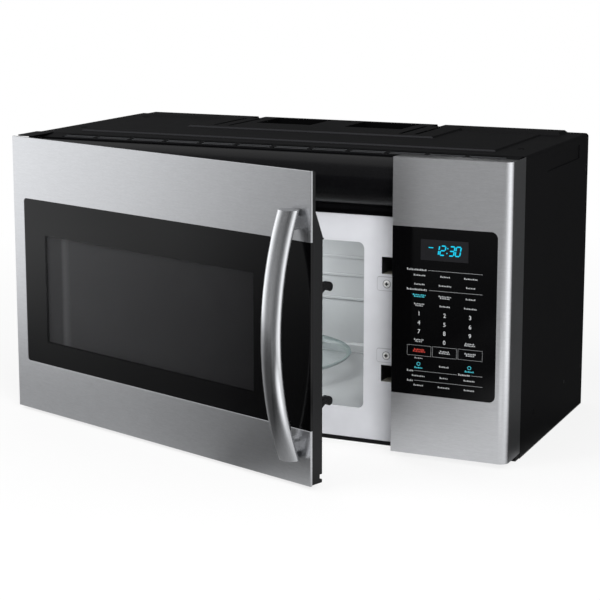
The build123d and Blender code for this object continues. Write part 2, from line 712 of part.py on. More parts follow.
# Microwave source: waveguide, magnetron, transformer and capacitor
duct_x = (cavity_right + sheet, cavity_right + sheet + 30.0)
duct_y = (tube_y - 55.0, tube_y + 55.0)
duct_z = (tube_z - 47.0, tube_z + 47.0)
antenna_radius = 10.0
with BuildPart() as waveguide:
    block(duct_x, duct_y, duct_z)
    block((duct_x[0], duct_x[1] - sheet), (duct_y[0] + sheet, duct_y[1] - sheet),
          (duct_z[0] + sheet, duct_z[1] - sheet), Mode.SUBTRACT)
    rod(across(duct_x[1] - sheet), (tube_y, tube_z), antenna_radius + 2.0, sheet, Mode.SUBTRACT)
keep(waveguide, "waveguide")

tube_x = duct_x[1] + seat
yoke_length = 62.0
yoke_wall = 2.0
fin_pitch = 6.0
fin_count = 9
with BuildPart() as magnetron:
    block((tube_x, tube_x + yoke_length), (tube_y - 40, tube_y + 40), (tube_z - 38, tube_z + 38))
    block((tube_x + yoke_wall, tube_x + yoke_length - yoke_wall), (tube_y - 40, tube_y + 40),
          (tube_z - 38 + yoke_wall, tube_z + 38 - yoke_wall), Mode.SUBTRACT)
    rod(across(tube_x), (tube_y, tube_z), 19.0, yoke_length)
    for i in range(fin_count):
        x = tube_x + 6.0 + i * fin_pitch
        block((x, x + 0.8), (tube_y - 36, tube_y + 36), (tube_z - 38 + yoke_wall, tube_z + 38 - yoke_wall))
    rod(across(tube_x), (tube_y, tube_z), antenna_radius, -20.0)
    block((tube_x + yoke_length, tube_x + yoke_length + 24), (tube_y - 28, tube_y + 28),
          (tube_z - 24, tube_z + 24))
keep(magnetron, "magnetron")

core_x = (shelf_left + 24.0, shelf_left + 119.0)
core_y = (shelf_y[0] + 25.0, shelf_y[0] + 91.0)
core_z = (shelf_top, shelf_top + 82.0)
with BuildPart() as transformer:
    block(core_x, core_y, core_z)
    block((core_x[0] + 16, core_x[1] - 16), (core_y[0] - 14, core_y[1] + 14),
          (core_z[0] + 15, core_z[1] - 15))
    block((core_x[0] - 8, core_x[1] + 8), (core_y[0] + 8, core_y[1] - 8), (core_z[0], core_z[0] + 2))
    chamfer(transformer.edges().filter_by(Axis.Z).group_by(Axis.Y)[0], 4.0)
keep(transformer, "transformer")

can_at = (bay_x + 20.0, core_y[1] + 60.0)
can_height = 92.0
with BuildPart() as capacitor:
    with BuildSketch(level(shelf_top)):
        with Locations(can_at):
            SlotOverall(60.0, 34.0, rotation=90)
    extrude(amount=can_height)
    for shift in (-10.0, 10.0):
        block((can_at[0] - 0.5, can_at[0] + 0.5), (can_at[1] + shift - 3, can_at[1] + shift + 3),
              (shelf_top + can_height, shelf_top + can_height + 9))
    block((can_at[0] - 19, can_at[0] + 19), (can_at[1] - 8, can_at[1] + 8), (shelf_top + 40, shelf_top + 52))
keep(capacitor, "capacitor")

# Fan that cools the magnetron
fan_at = (bay_x, 200.0)
fan_shaft_radius = 2.5
shaft_running = 0.05
shroud_half = 70.0
shroud_y = (y_wall - 39.0, y_wall - 11.0)
fan_bore = 60.0
fan_tip = 56.0
motor_y = (y_wall - 77.0, y_wall - 49.0)


def fan_plane(y):
    """an upright plane at y that looks to the front"""
    return Plane.XZ.offset(-y)


shroud_x = (fan_at[0] - shroud_half, fan_at[0] + shroud_half)
shroud_z = (fan_at[1] - shroud_half, fan_at[1] + shroud_half)
with BuildPart() as fan_shroud:
    block(shroud_x, shroud_y, shroud_z)
    rod(fan_plane(shroud_y[1]), fan_at, fan_bore, shroud_y[1] - shroud_y[0], Mode.SUBTRACT)
    for x in (shroud_x[0] + 8, shroud_x[1] - 8):
        for z in (shroud_z[0] + 8, shroud_z[1] - 8):
            rod(fan_plane(y_wall - sheet - seat), (x, z), 5.0, y_wall - sheet - seat - shroud_y[1])
keep(fan_shroud, "fan_shroud")

with BuildPart() as fan_motor:
    block((fan_at[0] - 26, fan_at[0] + 26), motor_y, (fan_at[1] - 22, fan_at[1] + 22))
    block((shroud_x[0] + 2, shroud_x[1] - 2), (motor_y[1], shroud_y[0]), (fan_at[1] - 6, fan_at[1] + 6))
    rod(fan_plane(shroud_y[0]), fan_at, fan_shaft_radius + shaft_running, shroud_y[0] - motor_y[0],
        Mode.SUBTRACT)
keep(fan_motor, "fan_motor")

blade_count = 5
blade_pitch = radians(55)
blade_thickness = 1.6
hub_y = (shroud_y[0] + 3.0, shroud_y[0] + 21.0)
with BuildPart() as fan_blade:
    rod(fan_plane(hub_y[1]), fan_at, 16.0, hub_y[1] - hub_y[0])
    rod(fan_plane(hub_y[0]), fan_at, fan_shaft_radius, hub_y[0] - motor_y[0] - 2.0)
    for i in range(blade_count):
        turn = radians(360 / blade_count * i)
        outwards = Vector(cos(turn), 0, sin(turn))
        around = Vector(-sin(turn), 0, cos(turn))
        tilt = around * sin(blade_pitch) + Vector(0, 1, 0) * cos(blade_pitch)
        middle = Vector(fan_at[0], (hub_y[0] + hub_y[1]) / 2, fan_at[1])
        with BuildSketch(Plane(middle, x_dir=outwards, z_dir=tilt)) as blade:
            with Locations(((fan_tip + 12.0) / 2, 0)):
                Rectangle(fan_tip - 12.0, 17.0)
        extrude(blade.sketch, amount=blade_thickness / 2, both=True)
keep(fan_blade, "fan_blade")

# Vent blower: a motor with a drum wheel at each end, in two housings that blow up through the case
blower_y = (exhaust_depth[0] + exhaust_depth[1]) / 2
blower_z = rim_under - 67.0
wheel_radius = 42.0
wheel_x = (32.0, 112.0)
wheel_blades = 20
shaft_radius = 4.0
housing_x = (exhaust_near - 4.0, exhaust_far + 2.0)
housing_y = (exhaust_depth[0] - 6.0, exhaust_depth[1] + 6.0)
housing_z = (cavity_top + sheet + seat, rim_under - 4.0)
throat_y = (exhaust_depth[0] + 2.0, exhaust_depth[1] - 2.0)
throat_x = (exhaust_near + 1.0, exhaust_far - 2.0)
with BuildPart() as blower_housings:
    for turn in (-1, 1):
        outer = sorted((turn * housing_x[0], turn * housing_x[1]))
        inner = sorted((turn * throat_x[0], turn * throat_x[1]))
        block(outer, housing_y, housing_z)
        collar = (inner[0] - 1.5, inner[1] + 1.5)
        block(collar, (throat_y[0] - 1.5, throat_y[1] + 1.5), (housing_z[1], height - sheet - seat))
        rod(across(inner[0]), (blower_y, blower_z), wheel_radius + 3.0, inner[1] - inner[0], Mode.SUBTRACT)
        block(inner, throat_y, (blower_z, height), Mode.SUBTRACT)
        rod(across(outer[0]), (blower_y, blower_z), 30.0, outer[1] - outer[0], Mode.SUBTRACT)
keep(blower_housings, "blower_housings")

with BuildPart() as blower_motor:
    rod(across(-20.0), (blower_y, blower_z), 34.0, 40.0)
    block((-15.0, 15.0), (blower_y - 26, blower_y + 26), (cavity_top + sheet + seat, blower_z - 20))
    rod(across(-20.0), (blower_y, blower_z), shaft_radius + shaft_running, 40.0, Mode.SUBTRACT)
keep(blower_motor, "blower_motor")

with BuildPart() as blower_wheels:
    rod(across(-wheel_x[1]), (blower_y, blower_z), shaft_radius, 2 * wheel_x[1])
    for turn in (-1, 1):
        rod(across(turn * wheel_x[0]), (blower_y, blower_z), wheel_radius, turn * 2.0)
        rod(across(turn * wheel_x[0]), (blower_y, blower_z), 9.0, turn * 20.0)
        with BuildSketch(across(turn * (wheel_x[1] - 3.0))) as end_ring:
            with Locations((blower_y, blower_z)):
                Circle(wheel_radius)
                Circle(wheel_radius - 7.0, mode=Mode.SUBTRACT)
        extrude(end_ring.sketch, amount=turn * 3.0)
        with BuildSketch(across(turn * wheel_x[0])) as blades:
            with Locations((blower_y, blower_z)):
                with PolarLocations(wheel_radius - 3.5, wheel_blades):
                    Rectangle(6.0, 1.6)
        extrude(blades.sketch, amount=turn * (wheel_x[1] - wheel_x[0] - 1.0))
keep(blower_wheels, "blower_wheels")

# Turntable: motor under the floor, coupler, roller ring and glass tray
roller_radius = 7.2
roller_track = 93.5
roller_width = 9.0
running_gap = 0.3
tray_radius = 156.0
tray_under = floor_top + 2 * (roller_radius + running_gap)
tray_thickness = 5.0
tray_rise = 11.0
motor_shaft = 3.0
with BuildPart() as turntable_motor:
    with BuildSketch(level(floor_top - sheet - seat)) as motor_top:
        with Locations((cavity_x, cavity_y)):
            Circle(24.5)
    extrude(motor_top.sketch, amount=-20.0)
    with BuildSketch(level(floor_top - sheet - seat)) as ears:
        with Locations((cavity_x, cavity_y)):
            SlotOverall(70.0, 12.0)
    extrude(ears.sketch, amount=-1.5)
    rod(level(floor_top - sheet - seat), (cavity_x, cavity_y), motor_shaft + shaft_running, -12.0,
        Mode.SUBTRACT)
keep(turntable_motor, "turntable_motor")

with BuildPart() as drive_coupler:
    rod(level(floor_top - 11.0), (cavity_x, cavity_y), motor_shaft, 12.0)
    rod(level(floor_top + running_gap), (cavity_x, cavity_y), 7.0, tray_under - floor_top - running_gap)
    with BuildSketch(level(tray_under - 5.0)) as lobes:
        with Locations((cavity_x, cavity_y)):
            with PolarLocations(10.0, 3):
                SlotOverall(20.0, 8.0)
    extrude(lobes.sketch, amount=5.0)
keep(drive_coupler, "drive_coupler")

with BuildPart() as glass_tray:
    with BuildSketch(Plane((cavity_x, cavity_y, tray_under), x_dir=(1, 0, 0), z_dir=(0, -1, 0))):
        with BuildLine():
            Polyline(
                (0, 0),
                (tray_radius - 16.0, 0),
                (tray_radius - 2.0, tray_rise - 4.0),
                (tray_radius, tray_rise - 2.0),
                (tray_radius, tray_rise),
                (tray_radius - 5.0, tray_rise),
                (tray_radius - 19.0, tray_thickness),
                (0, tray_thickness),
                close=True,
            )
        make_face()
    revolve(axis=Axis((cavity_x, cavity_y, 0), (0, 0, 1)))
    with BuildSketch(level(tray_under)):
        with Locations((cavity_x, cavity_y)):
            Circle(26.0)
            Circle(23.0, mode=Mode.SUBTRACT)
    extrude(amount=-3.0)
keep(glass_tray, "glass_tray")

ring_z = floor_top + running_gap + roller_radius
stub_radius = 1.5
ring_outer = roller_track - roller_width / 2 - 3.0
ring_angles = (90.0, 210.0, 330.0)


def spoke_plane(angle, reach):
    """a plane across a roller's axle, reach from the turntable's centre"""
    turn = radians(angle)
    outwards = Vector(cos(turn), sin(turn), 0)
    return Plane(Vector(cavity_x, cavity_y, ring_z) + outwards * reach, x_dir=(0, 0, 1), z_dir=outwards)


with BuildPart() as roller_ring:
    with BuildSketch(level(ring_z - 2.0)):
        with Locations((cavity_x, cavity_y)):
            Circle(ring_outer)
            Circle(ring_outer - 6.0, mode=Mode.SUBTRACT)
    extrude(amount=4.0)
    for angle in ring_angles:
        inside = spoke_plane(angle, ring_outer - 2.0)
        rod(inside, (0, 0), 3.0, 2.0 + 3.0 - running_gap)
        rod(inside, (0, 0), stub_radius, 2.0 + 3.0 + roller_width + 3.0)
        rod(spoke_plane(angle, roller_track + roller_width / 2 + running_gap), (0, 0), 2.3, 1.5)
keep(roller_ring, "roller_ring")

for number, angle in enumerate(ring_angles, 1):
    with BuildPart() as roller:
        rod(spoke_plane(angle, roller_track - roller_width / 2), (0, 0), roller_radius, roller_width)
        rod(spoke_plane(angle, roller_track - roller_width / 2), (0, 0), stub_radius + shaft_running,
            roller_width, Mode.SUBTRACT)
        chamfer(roller.edges().filter_by(GeomType.CIRCLE).group_by(SortBy.RADIUS)[-1], 0.8)
    keep(roller, f"roller_{number}")

# Lamps
with BuildPart() as cavity_lamp:
    bracket_x = cavity_right + sheet
    tall = (lamp_at[1] - 16, lamp_at[1] + 16)
    block((bracket_x, bracket_x + 1.0), (lamp_at[0] + 16, lamp_at[0] + 32), tall)
    block((bracket_x, bracket_x + 36), (lamp_at[0] + 16, lamp_at[0] + 17), tall)
    rod(across(bracket_x + 20), (lamp_at[0], lamp_at[1]), 11.0, 16.0)
    rod(across(bracket_x + 6), (lamp_at[0], lamp_at[1]), 8.0, 14.0)
    block((bracket_x + 22, bracket_x + 34), (lamp_at[0], lamp_at[0] + 17), (lamp_at[1] - 6, lamp_at[1] + 6))
keep(cavity_lamp, "cavity_lamp")

lamp_wall = 2.0
with BuildPart() as cooktop_lamps:
    for x in (-lens_x, lens_x):
        inner_x = (x - lens_width / 2 - seat, x + lens_width / 2 + seat)
        inner_y = (lens_y - lens_depth / 2 - seat, lens_y + lens_depth / 2 + seat)
        outer_x = (inner_x[0] - lamp_wall, inner_x[1] + lamp_wall)
        outer_y = (inner_y[0] - lamp_wall, inner_y[1] + lamp_wall)
        block(outer_x, outer_y, (sheet, sheet + 16))
        block(inner_x, inner_y, (sheet, sheet + 14), Mode.SUBTRACT)
        rod(level(sheet + 6), (x, lens_y), 9.0, 8.0)
keep(cooktop_lamps, "cooktop_lamps")

with BuildPart() as lamp_lenses:
    for x in (-lens_x, lens_x):
        block((x - lens_width / 2, x + lens_width / 2), (lens_y - lens_depth / 2, lens_y + lens_depth / 2),
              (sheet, sheet + 3.0))
keep(lamp_lenses, "lamp_lenses")

# Grease filters: a thin frame round a mesh sheet
for name, x in (("grease_filter_left", -filter_x), ("grease_filter_right", filter_x)):
    with BuildPart() as grease_filter:
        block((x - filter_width / 2, x + filter_width / 2),
              (filter_y - filter_depth / 2, filter_y + filter_depth / 2),
              (filter_z, filter_z + filter_height))
        inner_x = (x - filter_width / 2 + 9, x + filter_width / 2 - 9)
        inner_y = (filter_y - filter_depth / 2 + 9, filter_y + filter_depth / 2 - 9)
        block(inner_x, inner_y, (filter_z, filter_z + 2.0), Mode.SUBTRACT)
        block(inner_x, inner_y, (filter_z + 5.0, filter_z + filter_height), Mode.SUBTRACT)
        handle_y = inner_y[0] + 10.0
        block((x - 12, x + 12), (handle_y - 1.0, handle_y + 1.0), (filter_z, filter_z + 2.0))
    keep(grease_filter, name)

# Sizes of the handle, an oval bar that bows out from the door on two short posts
handle_x = door_right - 25.5
handle_z = (door_bottom + 35.0, door_top - 49.0)
handle_wide = 30.0
handle_thick = 22.0
handle_reach = 45.5  # door front to the middle of the bar at its furthest
handle_end = 12.9  # the same at its ends
post_inset = 17.0
post_size = (16.0, 18.0)
door_screw_radius = 2.4
door_screw_hole = 2.5
screw_seat = 7.0
screw_bite = 17.0
post_z = (handle_z[0] + post_inset, handle_z[1] - post_inset)

# Door skin: brushed steel, open on the right where the glass runs out to the edge
skin_return = 3.5
skin_edge = 0.45
glass_left = x_left + glass_left_border
with BuildPart() as door_skin:
    block((x_left, door_right), deep(0, skin_return), (door_bottom, door_top), hold=on_door)
    block((x_left + steel_skin, door_right - steel_skin), deep(steel_skin, skin_return),
          (door_bottom + steel_skin, door_top - steel_skin), Mode.SUBTRACT, on_door)
    window((glass_left, door_right + 3 * glass_corner), (glass_bottom, glass_top), (0, skin_return),
           glass_corner, hold=on_door)
    chamfer(door_skin.faces().sort_by(door_inward)[0].edges(), skin_edge)
    for z in post_z:
        rod(facing(0, on_door), (handle_x, z), door_screw_hole, -steel_skin, Mode.SUBTRACT)
keep(door_skin, "door_skin")

# Handle bar, posts and the screws that hold them from behind
bow = handle_reach - handle_end
handle_half = (handle_z[1] - handle_z[0]) / 2
bow_radius = (handle_half**2 + bow**2) / (2 * bow)
overrun = 10.0  # length swept past each end, then cut off level
reach_past_end = handle_reach - bow_radius + sqrt(bow_radius**2 - (handle_half + overrun) ** 2)
with BuildPart() as handle_bar:
    with BuildLine(across(handle_x, on_door)) as bow_line:
        ThreePointArc(
            (y_front - reach_past_end, handle_z[0] - overrun),
            (y_front - handle_reach, handle_z[0] + handle_half),
            (y_front - reach_past_end, handle_z[1] + overrun),
        )
    door_right_way = Vector(cos(radians(door_ajar)), -sin(radians(door_ajar)), 0)
    with BuildSketch(Plane(bow_line.line @ 0, x_dir=door_right_way, z_dir=bow_line.line % 0)):
        Ellipse(handle_wide / 2, handle_thick / 2)
    sweep()
    ends_x = (handle_x - handle_wide, handle_x + handle_wide)
    block(ends_x, deep(-80, 20), (handle_z[1], handle_z[1] + 3 * overrun), Mode.SUBTRACT, on_door)
    block(ends_x, deep(-80, 20), (handle_z[0] - 3 * overrun, handle_z[0]), Mode.SUBTRACT, on_door)
    for z in post_z:
        rod(facing(0, on_door), (handle_x, z), door_screw_hole, screw_bite + seat, Mode.SUBTRACT)
keep(handle_bar, "handle_bar")

with BuildPart() as handle_posts:
    for z in post_z:
        with BuildSketch(facing(0, on_door)) as foot:
            with Locations((handle_x, z)):
                RectangleRounded(post_size[0], post_size[1], 4.0)
        extrude(foot.sketch, amount=handle_end + 4.0)
    add(handle_bar.part, mode=Mode.SUBTRACT)
    for z in post_z:
        rod(facing(0, on_door), (handle_x, z), door_screw_hole, screw_bite, Mode.SUBTRACT)
keep(handle_posts, "handle_posts")

with BuildPart() as door_screws:
    for z in post_z:
        rod(facing(screw_seat + 3.0, on_door), (handle_x, z), 4.5, 3.0)
        rod(facing(screw_seat, on_door), (handle_x, z), door_screw_radius, screw_seat + screw_bite)
keep(door_screws, "door_screws")

# Door glass
with BuildPart() as door_glass:
    window((glass_left + seat, door_right + 3 * glass_corner), (glass_bottom + seat, glass_top - seat),
           (slack, slack + door_glass_thickness), glass_corner - seat, Mode.ADD, on_door)
    block((door_right - seat, door_right + 4 * glass_corner), deep(0, 9), (glass_bottom, glass_top),
          Mode.SUBTRACT, on_door)
keep(door_glass, "door_glass")

# Door frame: black moulding, thin above where it clears the vent face
window_x = (cavity_left + 40.0, cavity_right - 24.0)
window_z = (glass_bottom + 37.0, glass_top - 54.0)
frame_behind = 22.5
thin_door = 9.0
wedge_z = (frame_top + 5.0, frame_top + 38.0)
screen_lap = 6.0
screen_depth = (slack + door_glass_thickness + seat, slack + door_glass_thickness + seat + 0.7)
glass_floor = screen_depth[0]
frame_edge = door_right - seat
edge_rebate = steel_skin + seat
pocket_x = (glass_left + 3.0, cavity_right + 20.0)
pocket_z = (door_bottom + 15.0, glass_top - 10.0)
window_rim = 4.0
boss_depth = 32.0
boss_half = 10.8
boss_top = frame_top + 2.0
bore_depth = 19.0
foot_notch_z = (door_bottom + 5.5, door_bottom + 12.5)
choke_x = (cavity_left - 10.0, cavity_right + 22.0)
choke_z = (cavity_bottom - 16.0, cavity_top + 16.0)
cover_x = (choke_x[0] - 2.0, latch_x + 6.4)
cover_z = (choke_z[0] - 2.0, choke_z[1] + 2.0)
with BuildPart() as door_frame:
    with BuildSketch(across(x_left + edge_rebate, on_door)) as door_profile:
        with BuildLine():
            Polyline(
                (y_front + edge_rebate, door_bottom + edge_rebate),
                (y_front + frame_behind, door_bottom + edge_rebate),
                (y_front + frame_behind, wedge_z[0]),
                (y_front + thin_door, wedge_z[1]),
                (y_front + thin_door, door_top - edge_rebate),
                (y_front + edge_rebate, door_top - edge_rebate),
                close=True,
            )
        make_face()
    extrude(door_profile.sketch, amount=frame_edge - x_left - edge_rebate)
    block((band_left, frame_edge), deep(frame_behind, frame_behind + 2.5), (boss_top - 1.5, boss_top + 0.5),
          hold=on_door)
    block((frame_edge - steel_skin, frame_edge), deep(0, skin_return + seat), (0, door_top),
          Mode.SUBTRACT, on_door)
    block((glass_left, frame_edge), deep(0, glass_floor), (glass_bottom, glass_top), Mode.SUBTRACT, on_door)
    block(pocket_x, deep(screw_seat, frame_behind), pocket_z, Mode.SUBTRACT, on_door)
    block((window_x[0] - window_rim, window_x[1] + window_rim), deep(screw_seat, frame_behind),
          (window_z[0] - window_rim, window_z[1] + window_rim), hold=on_door)
    block((window_x[0] - screen_lap - seat, window_x[1] + screen_lap + seat),
          deep(glass_floor, screen_depth[1] + seat),
          (window_z[0] - screen_lap - seat, window_z[1] + screen_lap + seat), Mode.SUBTRACT, on_door)
    block(window_x, deep(0, frame_behind), window_z, Mode.SUBTRACT, on_door)
    block((x_left, band_left + 2.0), deep(thin_door, frame_behind + 3.0), (boss_top, wedge_z[1] + 1.0),
          Mode.SUBTRACT, on_door)
    boss_x = (x_left + edge_rebate, hinge_x + boss_half)
    for z in ((cover_z[1] + seat, boss_top), (door_bottom + edge_rebate, cover_z[0] - seat)):
        block(boss_x, deep(thin_door, boss_depth), z, hold=on_door)
    pin_bore = hinge_pin_radius + hinge_running
    rod(level(boss_top - bore_depth, on_door), (hinge_x, hinge_y), pin_bore, bore_depth, Mode.SUBTRACT)
    rod(level(door_bottom, on_door), (hinge_x, hinge_y), pin_bore, bore_depth + edge_rebate, Mode.SUBTRACT)
    for z in post_z:
        rod(facing(0, on_door), (handle_x, z), door_screw_hole, -frame_behind, Mode.SUBTRACT)
        rod(facing(screw_seat, on_door), (handle_x, z), 6.0, -frame_behind, Mode.SUBTRACT)
    block((frame_edge - 14.0, frame_edge), deep(frame_behind - 4.5, frame_behind), foot_notch_z,
          Mode.SUBTRACT, on_door)
keep(door_frame, "door_frame")

with BuildPart() as window_screen:
    block((window_x[0] - screen_lap, window_x[1] + screen_lap), deep(*screen_depth),
          (window_z[0] - screen_lap, window_z[1] + screen_lap), hold=on_door)
keep(window_screen, "window_screen")

# Choke: a steel channel round the window, its cover and the inner window
choke_front = frame_behind + seat
choke_back = 42.3
cover_back = 44.0
inner_lap = 1.0


def ring_wall(xs, zs, ds, wall):
    """a wall round a rectangle, between two depths"""
    block(xs, deep(*ds), zs, hold=on_door)
    block((xs[0] + wall, xs[1] - wall), deep(*ds), (zs[0] + wall, zs[1] - wall), Mode.SUBTRACT, on_door)


with BuildPart() as choke_frame:
    ring_wall(choke_x, choke_z, (choke_front, choke_back), sheet)
    block(choke_x, deep(choke_front, choke_front + sheet), choke_z, hold=on_door)
    rim_x = (window_x[0] - inner_lap - sheet, window_x[1] + inner_lap + sheet)
    rim_z = (window_z[0] - inner_lap - sheet, window_z[1] + inner_lap + sheet)
    block(rim_x, deep(choke_front, choke_back), rim_z, hold=on_door)
    block((rim_x[0] + sheet, rim_x[1] - sheet), deep(choke_front + sheet, choke_back),
          (rim_z[0] + sheet, rim_z[1] - sheet), Mode.SUBTRACT, on_door)
    block(window_x, deep(choke_front, choke_back), window_z, Mode.SUBTRACT, on_door)
keep(choke_frame, "choke_frame")

inner_pane = (choke_back - 4.0, choke_back - 2.0)
with BuildPart() as inner_window:
    block((rim_x[0] + sheet + seat, rim_x[1] - sheet - seat), deep(*inner_pane),
          (rim_z[0] + sheet + seat, rim_z[1] - sheet - seat), hold=on_door)
keep(inner_window, "inner_window")

cover_wall = 1.5
key_wide = 7.0
key_x = (latch_x - key_wide / 2, latch_x + key_wide / 2)
key_depth = (frame_behind + 0.7, cover_back - cover_wall - running_gap)
key_z = (latch_z[0] - 28.0, latch_z[1] + 28.0)
arm_wide = 6.0
latch_lift = 4.0
arm_low = 12.5
hook_high = 6.5
cover_face = cover_back - cover_wall
with BuildPart() as choke_cover:
    block(cover_x, deep(choke_front, cover_back), cover_z, hold=on_door)
    block((cover_x[0] + cover_wall, cover_x[1] - cover_wall), deep(choke_front, cover_face),
          (cover_z[0] + cover_wall, cover_z[1] - cover_wall), Mode.SUBTRACT, on_door)
    block((window_x[0] + 3, window_x[1] - 3), deep(cover_face, cover_back),
          (window_z[0] + 3, window_z[1] - 3), Mode.SUBTRACT, on_door)
    for z in latch_z:
        block((latch_x - arm_wide / 2 - 0.6, latch_x + arm_wide / 2 + 0.6), deep(cover_face, cover_back),
              (z - arm_low - 0.8, z + hook_high + latch_lift + 0.8), Mode.SUBTRACT, on_door)
    for z in (key_z[0] + 12.0, latch_z[1] - 40.0, key_z[1] - 12.0):
        for rail in ((choke_x[1] + seat, key_x[0] - slack), (key_x[1] + slack, cover_x[1] - cover_wall)):
            block(rail, deep(key_depth[0], cover_face), (z - 6.0, z + 6.0), hold=on_door)
    block((choke_x[1] + seat, cover_x[1] - cover_wall), deep(key_depth[0], cover_face),
          (key_z[0] - 6.0, key_z[0]), hold=on_door)
keep(choke_cover, "choke_cover")

# Latch key with its two hooks, and the spring that pushes it down
hook_tip = 68.0


def hook_profile(z):
    """a hook seen from the side: it rises out of the door and turns down at its tip"""
    def at(d, rise):
        return (y_front + d, z + rise)

    Polyline(at(41, -arm_low), at(50, -6.2), at(55.8, -2.0), at(58.6, -4.8))
    ThreePointArc(at(58.6, -4.8), at(62.5, -6.7), at(66.5, -5.5))
    ThreePointArc(at(66.5, -5.5), at(hook_tip, 0.0), at(65.0, 4.5))
    ThreePointArc(at(65.0, 4.5), at(58.0, hook_high), at(51.5, 4.2))
    Polyline(at(51.5, 4.2), at(46.5, -1.0), at(41, -5.0), at(41, -arm_low))


with BuildPart() as latch_key:
    block(key_x, deep(*key_depth), key_z, hold=on_door)
    for z in latch_z:
        with BuildSketch(across(latch_x - arm_wide / 2, on_door)) as hook:
            with BuildLine():
                hook_profile(z)
            make_face()
        extrude(hook.sketch, amount=arm_wide)
keep(latch_key, "latch_key")

spring_radius = 3.2
spring_wire = 0.5
spring_turns = 5
spring_base = key_z[1] + spring_wire + 0.1
spring_height = cover_z[1] - cover_wall - spring_wire - 0.1 - spring_base
spring_centre = (latch_x, y_front + (key_depth[0] + key_depth[1]) / 2, spring_base)
with BuildPart() as latch_spring:
    with BuildLine(on_door(Plane(spring_centre))) as coil:
        Helix(spring_height / spring_turns, spring_height, spring_radius)
    with BuildSketch(Plane(coil.line @ 0, z_dir=coil.line % 0)):
        Circle(spring_wire)
    sweep()
keep(latch_spring, "latch_spring")

print("nodes written:", len(os.listdir("parts")))
print("hinge axis:", hinge_x, hinge_y, "turntable:", cavity_x, cavity_y, "ring z", ring_z)
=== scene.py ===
"""An over-the-range microwave oven with its vent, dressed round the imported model.

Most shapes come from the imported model, and this file gives them their finishes. It adds the smooth
bowed handle, the latch's wound spring, the sheet over the upper hinge, the louvre's vanes, the
screw heads, the printing on the touch panel, the clock's digits and the studio.
"""

import json
import math

import bmesh
import bpy
from mathutils import Matrix, Vector


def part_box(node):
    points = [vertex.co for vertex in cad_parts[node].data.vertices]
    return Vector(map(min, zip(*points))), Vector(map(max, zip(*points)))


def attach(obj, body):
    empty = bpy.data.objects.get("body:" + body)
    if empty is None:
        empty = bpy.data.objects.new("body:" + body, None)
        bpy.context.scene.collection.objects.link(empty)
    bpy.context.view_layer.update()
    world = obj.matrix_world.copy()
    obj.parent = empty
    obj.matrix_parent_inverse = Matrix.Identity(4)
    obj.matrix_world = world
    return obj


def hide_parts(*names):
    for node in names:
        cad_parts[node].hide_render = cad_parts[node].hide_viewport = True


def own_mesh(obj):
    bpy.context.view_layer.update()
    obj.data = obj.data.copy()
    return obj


bl_info = {
    "name": "Over-the-range microwave oven",
    "version": (1, 0, 0),
    "blender": (4, 5, 0),
    "location": "3D View > Sidebar > Oven",
    "description": "Finishes, handle, fasteners, panel printing and studio for the oven model",
    "category": "Object",
}

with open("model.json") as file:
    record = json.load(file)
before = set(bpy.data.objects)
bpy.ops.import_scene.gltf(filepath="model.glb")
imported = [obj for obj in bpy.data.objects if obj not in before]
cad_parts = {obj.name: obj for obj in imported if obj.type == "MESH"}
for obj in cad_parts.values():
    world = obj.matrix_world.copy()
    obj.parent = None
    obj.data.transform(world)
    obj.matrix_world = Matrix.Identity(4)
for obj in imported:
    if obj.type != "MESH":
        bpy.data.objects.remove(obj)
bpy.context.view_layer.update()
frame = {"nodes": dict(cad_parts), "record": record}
NODES = frame["nodes"]
JOINTS = {joint["name"]: joint for joint in frame["record"]["behaviour"]["joints"]}

FIXED_WAY = Matrix.Identity(4)
DOOR_AJAR = math.radians(18.4)  # how far open the door stands at rest
DOOR_PIVOT = Vector(JOINTS["door_hinge"]["pos_m"])
DOOR_WAY = (  # carries a shape from the shut door to the door at rest
    Matrix.Translation(DOOR_PIVOT)
    @ Matrix.Rotation(-DOOR_AJAR, 4, "Z")
    @ Matrix.Translation(-DOOR_PIVOT)
)
LATCH_TRAVEL = JOINTS["latch_slide"]["range_m"][1]
FRONT = -0.189  # y of the shut door's face and of the control panel's
HANDLE_LOW, HANDLE_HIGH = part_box("handle_bar")


def rgb(red, green, blue):
    """a colour as a screen shows it, 0 to 255, in the linear values that a shader reads"""
    parts = [v / 255 for v in (red, green, blue)]
    return tuple(p / 12.92 if p <= 0.04045 else ((p + 0.055) / 1.055) ** 2.4 for p in parts)


def shaded(colour, by):
    """a colour made darker or lighter"""
    return tuple(min(1.0, part * by) for part in colour)


# What a user would change


def length_of(name, about, default):
    return bpy.props.FloatProperty(
        name=name, description=about, default=default, min=0.0, unit="LENGTH", precision=5
    )


def colour_of(name, about, default):
    return bpy.props.FloatVectorProperty(
        name=name, description=about, default=default, size=3, min=0.0, max=1.0, subtype="COLOR"
    )


def power_of(name, about, default):
    return bpy.props.FloatProperty(
        name=name, description=about, default=default, min=0.0, unit="POWER"
    )


class OvenFinishes(bpy.types.PropertyGroup):
    """Colours of the oven's own finishes"""

    steel: colour_of("Steel", "Brushed steel of the door, panel and handle", (0.60, 0.605, 0.62))
    case: colour_of("Case", "Black powder coat of the case and louvre", (0.0045, 0.0045, 0.005))
    glass: colour_of("Glass", "Black print behind the glass", (0.0014, 0.0014, 0.0016))
    enamel: colour_of("Frame enamel", "Pale enamel of the oven frame", rgb(222, 223, 228))
    cavity: colour_of("Cavity enamel", "Blue-grey enamel of the oven cavity", rgb(158, 161, 163))
    plastic: colour_of("Plastic", "Black moulded plastic", (0.0034, 0.0034, 0.0039))
    legend: colour_of("Legends", "Pale printing on the keypad", rgb(206, 208, 210))
    accent: colour_of("Accent", "Blue-green printing on the keypad", rgb(70, 190, 205))
    clock: colour_of("Clock", "Lit digits of the clock", rgb(0, 206, 241))
    stop: colour_of("Stop key", "Red mark of the stop key", rgb(190, 62, 52))


